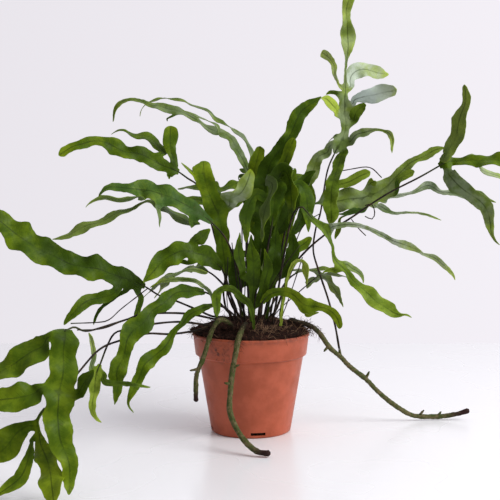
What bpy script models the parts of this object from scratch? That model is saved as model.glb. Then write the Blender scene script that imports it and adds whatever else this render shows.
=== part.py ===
"""A fern in a nursery pot: pot, soil, creeping stems, and fronds with a dark stalk and a lobed blade.

Lengths are millimetres until metres() turns a mesh into Blender's unit.
The origin is the centre of the pot's foot, +Z is up, and the fern is seen from -Y.
"""
import math
import random
from collections import namedtuple

import bmesh
import bpy
import numpy as np
from mathutils import Matrix

MM = 0.001
GAP = 0.3
JOINT_GAP = 0.45

POT_HEIGHT = 102.0
POT_SIDES = 36
RIM_RADIUS = 60.0
RIM_BEAD = 2.4
RIM_ROUND = 0.8
COLLAR_HEIGHT = 22.0
COLLAR_STEP = 3.0
NECK = 2.0
FOOT_RADIUS = 41.0
FOOT_BEVEL = 1.5
WALL = 1.8
FLOOR = 2.4
SLOT_COUNT = 4
SLOT_SIZE = (15.0, 12.0, 3.0)
SLOT_HEIGHT = 4.6
SLOT_TURN = math.radians(-80)

SOIL_CLEAR = 0.4
SOIL_CROWN = 12.0
SOIL_EDGE = 1.2
SOIL_LUMP = 1.3
LUMP_SIZE = 3.4
SOIL_RINGS = (0.86, 0.68, 0.48, 0.26)
SPILL_REACH = 7.0
SPILL_TURN = math.radians(196)
SPILL_NARROW = 12
HOLE_DEPTH = 12.0
HOLE_CLEAR = 1.0
HOLE_SIDES = 6

RHIZOME_RADIUS = 3.1
KNOBS = 0.09
KNOB_TURN = 31
TIP_SHARE = 0.06
RHIZOME_STEP = 8.0
STALK_FOOT = 1.2
STALK_TOP = 0.85
STALK_STEP = 20.0
JOINT_STEP = 3.0
STALK_RISE = 3.0
PEG_LENGTH = 8.0
PEG_RADIUS = 1.7

ROW_STEP = 9.5
RIB_THICK = 1.3
EDGE_THICK = 0.75
KEEL = 0.05
WAVE = 0.26
SCALLOP = 0.13
NOTCH = 0.4
SURGE = 0.45
SURGE_RATE = 0.37
WAVE_LENGTH = 27.0
EDGE_SHIFT = 2.2
CALM_ROWS = 2
LEAD = 6.0
WAIST = 0.85
PETIOLE_WIDTH = 2.4
SIDE_MIDDLE = (0.5, 0.18)
SIDE_TIP = (0.86, 0.5)
SIDE_DROOP = 0.16
FACE_VIEWER = (0.1, -0.8, 0.6)
FACE_UP = (0.0, -0.3, 0.95)

FINE_STEPS = 16
SEED = 27

Finish = namedtuple("Finish", "colour roughness")
TERRACOTTA = Finish((0.337, 0.078, 0.047), 0.5)
SOIL_BROWN = Finish((0.030, 0.018, 0.012), 0.95)
RHIZOME_GREEN = Finish((0.118, 0.109, 0.055), 0.85)
STALK_BROWN = Finish((0.022, 0.016, 0.012), 0.5)
LEAF_DARK = Finish((0.034, 0.082, 0.016), 0.42)
LEAF_MID = Finish((0.062, 0.138, 0.018), 0.42)
LEAF_LIGHT = Finish((0.138, 0.225, 0.034), 0.42)
LEAF_TEAL = Finish((0.066, 0.146, 0.086), 0.38)

Lobe = namedtuple("Lobe", "at points")
Side = namedtuple("Side", "at turn reach width")
Frond = namedtuple("Frond", "name foot stem axis lobes finish face")


def millimetres(*numbers):
    return np.array(numbers, float)


def smooth_line(knots):
    """Fine points on a Catmull-Rom curve through the knots, and the run to each."""
    knots = np.array(knots, float)
    ends = np.vstack([2 * knots[0] - knots[1], knots, 2 * knots[-1] - knots[-2]])
    fine = []
    for a, b, c, d in zip(ends, ends[1:], ends[2:], ends[3:]):
        for t in np.linspace(0, 1, FINE_STEPS, endpoint=False):
            cubic = (3 * b - a - 3 * c + d) * t ** 3
            square = (2 * a - 5 * b + 4 * c - d) * t ** 2
            fine.append((2 * b + (c - a) * t + square + cubic) / 2)
    fine = np.array(fine + [knots[-1]])
    steps = np.linalg.norm(np.diff(fine[:, :3], axis=0), axis=1)
    return fine, np.concatenate([[0], np.cumsum(steps)])


def even_stops(start, end, step):
    return np.linspace(start, end, max(3, round((end - start) / step) + 1))


def tip_stops(start, run):
    """Even stops to the tip. The last but one is no earlier than the knot where a blunt tip closes."""
    stops = even_stops(start, run[-1], ROW_STEP)
    stops[-2] = max(stops[-2], run[-1 - FINE_STEPS])
    return stops


def stations(line, run, stops):
    """The points of a fine line at the stops along its run."""
    return np.column_stack([np.interp(stops, run, column) for column in line.T])


def frames(places, face):
    """Tangents, and normals that start at a face and are carried along without a twist."""
    tangents = np.gradient(places, axis=0)
    tangents /= np.linalg.norm(tangents, axis=1)[:, None]
    normal = np.array(face, float)
    normals = []
    for tangent in tangents:
        normal = normal - normal.dot(tangent) * tangent
        normal = normal / np.linalg.norm(normal)
        normals.append(normal)
    return tangents, np.array(normals)


def coat(name, finish):
    material = bpy.data.materials.new(name)
    material.use_nodes = True
    shader = material.node_tree.nodes["Principled BSDF"]
    shader.inputs["Base Color"].default_value = (*finish.colour, 1)
    shader.inputs["Roughness"].default_value = finish.roughness
    shader.inputs["Metallic"].default_value = 0
    material.diffuse_color = (*finish.colour, 1)
    return material


def place(name, data, material):
    part = bpy.data.objects.new(name, data)
    bpy.context.scene.collection.objects.link(part)
    data.materials.append(material)
    return part


def metres(name, bm, material):
    """A finished object in metres from a mesh in millimetres."""
    bmesh.ops.scale(bm, vec=(MM, MM, MM), verts=bm.verts)
    bmesh.ops.recalc_face_normals(bm, faces=bm.faces)
    mesh = bpy.data.meshes.new(name)
    bm.to_mesh(mesh)
    bm.free()
    return place(name, mesh, material)


def turned(profile, sides):
    """A mesh turned about Z from radius and height pairs that start and end on the axis."""
    bm = bmesh.new()
    corners = [bm.verts.new((radius, 0, height)) for radius, height in profile]
    edges = [bm.edges.new(pair) for pair in zip(corners, corners[1:])]
    bmesh.ops.spin(bm, geom=corners + edges, cent=(0, 0, 0), axis=(0, 0, 1),
                   angle=math.tau, steps=sides, use_merge=True)
    bmesh.ops.remove_doubles(bm, verts=bm.verts, dist=0.01)
    return bm


def apply_modifiers(part):
    depsgraph = bpy.context.evaluated_depsgraph_get()
    mesh = bpy.data.meshes.new_from_object(part.evaluated_get(depsgraph))
    part.modifiers.clear()
    part.data = mesh


def boolean(part, operand, operation):
    cut = part.modifiers.new(operation.lower(), "BOOLEAN")
    cut.operation = operation
    cut.solver = "EXACT"
    cut.object = operand
    apply_modifiers(part)
    bpy.data.objects.remove(operand)


def hide_cutter(cutter):
    cutter.hide_render = True
    cutter.display_type = "WIRE"
    return cutter


def body_radius(height):
    """Outer radius of the pot's tapered body."""
    top = RIM_RADIUS - COLLAR_STEP * 2
    return FOOT_RADIUS + (top - FOOT_RADIUS) * height / (POT_HEIGHT - COLLAR_HEIGHT)


def pot_profile():
    """Foot, tapered body, neck, collar and rim bead outside, then the wall inside down to the floor."""
    collar = POT_HEIGHT - COLLAR_HEIGHT
    neck = collar - NECK
    bead = POT_HEIGHT - RIM_BEAD
    return [
        (0, 0), (FOOT_RADIUS - FOOT_BEVEL, 0), (FOOT_RADIUS, FOOT_BEVEL), (body_radius(neck), neck),
        (RIM_RADIUS - COLLAR_STEP, collar), (RIM_RADIUS - RIM_ROUND, bead - RIM_ROUND),
        (RIM_RADIUS, bead), (RIM_RADIUS, POT_HEIGHT - RIM_ROUND), (RIM_RADIUS - RIM_ROUND, POT_HEIGHT),
        (RIM_RADIUS - RIM_ROUND - WALL, POT_HEIGHT), (RIM_RADIUS - COLLAR_STEP - WALL, collar + NECK / 2),
        (body_radius(neck) - WALL, neck - NECK / 2), (body_radius(FLOOR) - WALL, FLOOR), (0, FLOOR),
    ]


def make_pot():
    pot = metres("pot", turned(pot_profile(), POT_SIDES), coat("pot_plastic", TERRACOTTA))
    slots = bmesh.new()
    for number in range(SLOT_COUNT):
        turn = Matrix.Rotation(SLOT_TURN + math.tau * number / SLOT_COUNT, 4, "Z")
        middle = Matrix.Translation((body_radius(SLOT_HEIGHT), 0, SLOT_HEIGHT))
        size = Matrix.Diagonal((SLOT_SIZE[1], SLOT_SIZE[0], SLOT_SIZE[2], 1))
        bmesh.ops.create_cube(slots, size=1, matrix=turn @ middle @ size)
    cutter = hide_cutter(metres("drain_slots", slots, pot.data.materials[0]))
    boolean(pot, cutter, "DIFFERENCE")
    pot.data.shade_smooth()
    pot.data.set_sharp_from_angle(angle=math.radians(35))


def soil_height(x, y):
    """Height of the soil's mounded, lumpy top."""
    reach = min(1.0, math.hypot(x, y) / (RIM_RADIUS - WALL))
    lumps = math.sin(x / LUMP_SIZE + 1) * math.cos(y / LUMP_SIZE) + math.sin((x - y) / LUMP_SIZE * 2) / 2
    mound = SOIL_CROWN * (1 - reach ** 3) + SOIL_LUMP * lumps * (1 - reach ** 4)
    return POT_HEIGHT + SOIL_EDGE + mound


def soil_edge():
    return RIM_RADIUS - RIM_ROUND - WALL - SOIL_CLEAR


def soil_profile():
    """The soil follows the pot's inner wall, then closes over the rim in rings."""
    wall = [(radius - SOIL_CLEAR, height) for radius, height in pot_profile()[-5:-1]]
    wall.reverse()
    wall[0] = (wall[0][0], FLOOR + GAP)
    edge = soil_edge()
    lip = [(edge, POT_HEIGHT + GAP), (edge, POT_HEIGHT + 2 * SOIL_EDGE)]
    rings = [(edge * share, POT_HEIGHT + SOIL_CROWN) for share in SOIL_RINGS]
    return [(0, FLOOR + GAP), *wall[:-1], *lip, *rings, (0, POT_HEIGHT + SOIL_CROWN)]


def make_soil(feet):
    """The root ball; a clump of it spills over the left of the rim, and each stem has its hole."""
    bm = turned(soil_profile(), POT_SIDES)
    edge = soil_edge()
    for corner in bm.verts:
        x, y, z = corner.co
        if z > POT_HEIGHT + 2 * GAP:
            spill = max(0.0, math.cos(math.atan2(y, x) - SPILL_TURN)) ** SPILL_NARROW
            near_rim = math.hypot(x, y) > SOIL_RINGS[0] * edge - GAP
            if near_rim:
                grown = 1 + spill * SPILL_REACH / edge
                corner.co = (x * grown, y * grown, soil_height(x, y) + 2 * SOIL_EDGE * spill)
            else:
                corner.co.z = soil_height(x, y)
    soil = metres("soil", bm, coat("soil_mix", SOIL_BROWN))
    holes = bmesh.new()
    for x, y, radius in feet:
        floor = soil_height(x, y) - HOLE_DEPTH
        bmesh.ops.create_cone(holes, cap_ends=True, segments=HOLE_SIDES, radius1=radius + HOLE_CLEAR,
                              radius2=radius + HOLE_CLEAR, depth=3 * HOLE_DEPTH,
                              matrix=Matrix.Translation((x, y, floor + 1.5 * HOLE_DEPTH)))
    boolean(soil, hide_cutter(metres("stem_holes", holes, soil.data.materials[0])), "DIFFERENCE")


def foot_points(foot):
    """A stem's straight start, from just above its hole's floor to clear of the soil."""
    x, y = foot
    surface = soil_height(x, y)
    return [millimetres(x, y, surface - HOLE_DEPTH + GAP), millimetres(x, y, surface + STALK_RISE)]


def wire(name, places, radii, sides_step, material):
    """A round stem with capped ends along the places."""
    curve = bpy.data.curves.new(name, "CURVE")
    curve.dimensions = "3D"
    curve.bevel_depth = MM
    curve.bevel_resolution = sides_step
    curve.use_fill_caps = True
    curve.render_resolution_u = 0
    spline = curve.splines.new("POLY")
    spline.points.add(len(places) - 1)
    for point, spot, radius in zip(spline.points, places, radii):
        point.co = (*(spot * MM), 1)
        point.radius = radius
    return place(name, curve, material)


def stem_wire(name, start, knots, radii, step, sides_step, material):
    """A wire that leaves its straight start and then follows a smooth curve to the last knot."""
    line, run = smooth_line([*start, *knots])
    rise = run[FINE_STEPS]
    curved = stations(line[:, :3], run, even_stops(rise, run[-1], step))
    places = np.vstack([start[0], curved])
    share = np.linspace(0, 1, len(places))
    return wire(name, places, radii(share), sides_step, material)


def stalk_radii(share):
    return STALK_FOOT + (STALK_TOP - STALK_FOOT) * share


def rhizome_radii(share):
    """Slightly knobbly, and rounded off at the tip."""
    knobs = 1 + KNOBS * np.sin(share * KNOB_TURN)
    past = ((share - 1) / TIP_SHARE + 1).clip(0)
    tip = np.sqrt((1 - past ** 2).clip(0.1))
    return RHIZOME_RADIUS * knobs * tip


def make_rhizome(name, foot, knots, spurs):
    """A creeping stem with its side buds fused on."""
    material = coat(name + "_bark", RHIZOME_GREEN)
    start = foot_points(foot)
    stem = stem_wire(name + "_wire", start, knots, rhizome_radii, RHIZOME_STEP, 2, material)
    rhizome = place(name, bpy.data.meshes.new_from_object(stem), material)
    bpy.data.objects.remove(stem)
    for base, tip, radius in spurs:
        ends = [millimetres(*base), millimetres(*tip)]
        bud = wire(name + "_bud", ends, (radius, radius * 0.7), 1, material)
        solid = place(name + "_spur", bpy.data.meshes.new_from_object(bud), material)
        bpy.data.objects.remove(bud)
        boolean(rhizome, hide_cutter(solid), "UNION")
    rhizome.data.shade_smooth()


def next_row(bm, row, spots):
    """Extrude a row of corners by one step, and put the new corners on their spots."""
    edges = [bm.edges.get(pair) for pair in zip(row, row[1:])]
    grown = bmesh.ops.extrude_edge_only(bm, edges=edges)["geom"]
    fresh = {item for item in grown if isinstance(item, bmesh.types.BMVert)}
    new_row = []
    for corner, spot in zip(row, spots):
        partners = (edge.other_vert(corner) for edge in corner.link_edges)
        new = next(partner for partner in partners if partner in fresh)
        new.co = spot
        new_row.append(new)
    return new_row


def edge_spot(spot, across, normal, phase, swing):
    """A corner on a blade's edge, which waves up and down and in and out, here strongly and there less."""
    half = spot[3] / 2
    surge = swing * (1 + SURGE * math.sin(SURGE_RATE * phase))
    bulge = math.cos(phase) - NOTCH * math.cos(2 * phase)
    reach = half * (1 + surge * SCALLOP * bulge)
    return spot[:3] + across * reach + normal * surge * WAVE * half * math.sin(phase)


def spots_across(spot, across, normal, phase, swing):
    """Three corners of a row: a wavy edge, the lowered rib, and the other wavy edge."""
    near = edge_spot(spot, -across, normal, phase, swing)
    rib = spot[:3] - normal * KEEL * spot[3]
    far = edge_spot(spot, across, normal, phase + EDGE_SHIFT, swing)
    return near, rib, far


def grow_strip(bm, row, spots, stride, face, along, phase):
    """Extrude a row along the spots to a tip; return the rows, tangents and normals."""
    tangents, normals = frames(spots[:, :3], face)
    rows = [row]
    across0 = np.cross(tangents[0], normals[0])
    flip = 1 if across0.dot(along) >= 0 else -1
    for number in range(1, len(spots)):
        across = flip * np.cross(tangents[number], normals[number])
        turn = phase + math.tau * number * stride / WAVE_LENGTH
        swing = min(1, number / CALM_ROWS)
        corners = spots_across(spots[number], across, normals[number], turn, swing)
        row = next_row(bm, row, corners)
        rows.append(row)
    tip = spots[-1][:3]
    bmesh.ops.pointmerge(bm, verts=row, merge_co=tip)
    rows.pop()
    return rows, tangents, normals


def side_points(side, root, outward, tangent):
    """A lobe by rule: out from the midrib, then forward, then a little down."""
    middle = root + side.reach * (SIDE_MIDDLE[0] * outward + SIDE_MIDDLE[1] * tangent)
    tip = root + side.reach * (SIDE_TIP[0] * outward + SIDE_TIP[1] * tangent)
    return [(*middle, side.width), (tip[0], tip[1], tip[2] - SIDE_DROOP * side.reach, 0)]


def grow_lobe(bm, lobe, rows, tangents, normals, phase):
    """Split one side edge of the midrib's strip and extrude it along the lobe."""
    band = max(1, min(int(lobe.at * (len(rows) - 1)), len(rows) - 2))
    tangent = tangents[band]
    normal = normals[band]
    sideways = np.cross(tangent, normal)
    middle = np.array((rows[band][1].co + rows[band + 1][1].co) / 2)
    if isinstance(lobe, Side):
        outward = sideways * lobe.turn
    else:
        away = np.array(lobe.points[0][:3]) - middle
        outward = sideways if away.dot(sideways) >= 0 else -sideways
    reaches = [(np.array(rows[band][end].co) - middle).dot(outward) for end in (0, 2)]
    end = 0 if reaches[0] > reaches[1] else 2
    near, far = rows[band][end], rows[band + 1][end]
    edge = bm.edges.get((near, far))
    root = np.array((near.co + far.co) / 2)
    split = bmesh.utils.edge_split(edge, near, 0.5)[1]
    width = (near.co - far.co).length
    points = side_points(lobe, root, outward, tangent) if isinstance(lobe, Side) else lobe.points
    heading = np.array(points[0][:3]) - root
    heading = heading / np.linalg.norm(heading) + outward
    lead = root + heading / np.linalg.norm(heading) * LEAD
    first_width = WAIST * min(width, points[0][3])
    line, run = smooth_line([(*root, width), (*lead, first_width), *points])
    stops = tip_stops(0, run)
    spots = stations(line, run, stops)
    grown = grow_strip(bm, [near, split, far], spots, stops[1], normal, tangent, phase)[0]
    return [row[1] for row in grown]


def sheet_to_blade(name, bm, ribs, finish):
    """Split the sheet into triangles and give it a thicker rib and thin edges."""
    bmesh.ops.triangulate(bm, faces=bm.faces)
    bm.verts.index_update()
    numbers = [rib.index for rib in ribs if rib.is_valid]
    blade = metres(name, bm, coat(name + "_green", finish))
    rib_group = blade.vertex_groups.new(name="rib")
    rib_group.add(numbers, 1.0, "REPLACE")
    solid = blade.modifiers.new("thickness", "SOLIDIFY")
    solid.thickness = RIB_THICK * MM
    solid.offset = 0
    solid.vertex_group = "rib"
    solid.thickness_vertex_group = EDGE_THICK / RIB_THICK
    blade.data.shade_smooth()


def make_blade(name, frond, spots, stride, draw):
    bm = bmesh.new()
    tangents, normals = frames(spots[:, :3], frond.face)
    across = np.cross(tangents[0], normals[0])
    first = [bm.verts.new(corner) for corner in spots_across(spots[0], across, normals[0], 0, 0)]
    for pair in zip(first, first[1:]):
        bm.edges.new(pair)
    phase = draw.uniform(0, math.tau)
    rows, tangents, normals = grow_strip(bm, first, spots, stride, frond.face, across, phase)
    ribs = [row[1] for row in rows]
    for lobe in frond.lobes:
        ribs += grow_lobe(bm, lobe, rows, tangents, normals, draw.uniform(0, math.tau))
    sheet_to_blade(name, bm, ribs, frond.finish)


def make_frond(frond, start, draw):
    """A dark stalk from its start to the blade's first knot, and the blade from there on."""
    knots = [(*point, 2 * STALK_TOP) for point in [*start, *frond.stem]] + list(frond.axis)
    line, run = smooth_line(knots)
    junction = run[FINE_STEPS * (len(start) + len(frond.stem))]
    bend = even_stops(run[FINE_STEPS], junction - JOINT_STEP, STALK_STEP)
    places = stations(line[:, :3], run, [0, *bend, junction - JOINT_GAP / 2])
    radii = stalk_radii(np.linspace(0, 1, len(places)))
    bark = coat(frond.name + "_bark", STALK_BROWN)
    wire(frond.name + "_stalk", places, radii, 1, bark)
    rows = tip_stops(junction + JOINT_STEP, run)
    spots = stations(line, run, [junction + JOINT_GAP / 2, *rows])
    make_blade(frond.name + "_blade", frond, spots, rows[1] - rows[0], draw)


def make_leaf(leaf, draw):
    """A small undivided leaf that is green from the soil up."""
    start = [(*point, PETIOLE_WIDTH) for point in foot_points(leaf.foot)]
    line, run = smooth_line([*start, *leaf.axis])
    rows = tip_stops(run[FINE_STEPS], run)
    make_blade(leaf.name, leaf, stations(line, run, [0, *rows]), rows[1] - rows[0], draw)


# Name, foot in the soil, points of the run, and buds as a base, a tip and a radius.
RHIZOMES = (
    ("rhizome_front", (-5, -40),
     ((-7, -47, 115), (-10, -57, 110), (-13, -64, 102), (-15, -67, 91), (-18, -70, 74), (-20, -76, 55),
      (-20, -84, 36), (-11, -96, 19), (-1, -105, 9), (8, -110, 4.5), (18, -112, 4)),
     (((-19, -74, 62), (-26, -76, 64), 1.6), ((-17, -70, 78), (-11, -73, 81), 1.4))),
    ("rhizome_left", (-19, -41),
     ((-24, -45, 119), (-31, -49, 121), (-38, -52, 112), (-42, -54, 100), (-47, -56, 84), (-53, -58, 70),
      (-54, -59, 56), (-54, -60, 42)),
     (((-51, -58, 74), (-60, -60, 73), 1.5),)),
    ("rhizome_right", (40, -7),
     ((47, -8, 113), (59, -8, 110), (70, -2, 101), (81, 4, 85), (93, 10, 74), (104, 15, 62),
      (120, 20, 49), (134, 26, 34), (150, 31, 20), (168, 36, 8), (180, 39, 4.5), (197, 41, 4),
      (206, 41, 4.5), (220, 40, 7), (233, 40, 11)),
     (((120, 20, 49), (124, 19, 57), 1.6), ((199, 41, 4), (203, 39, 10), 1.5),
      ((180, 39, 6), (184, 36, 12), 1.4))),
)
PEG_ROOT = (93, 10, 74)
PEG_AIM = (88, 14, 103)

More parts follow.
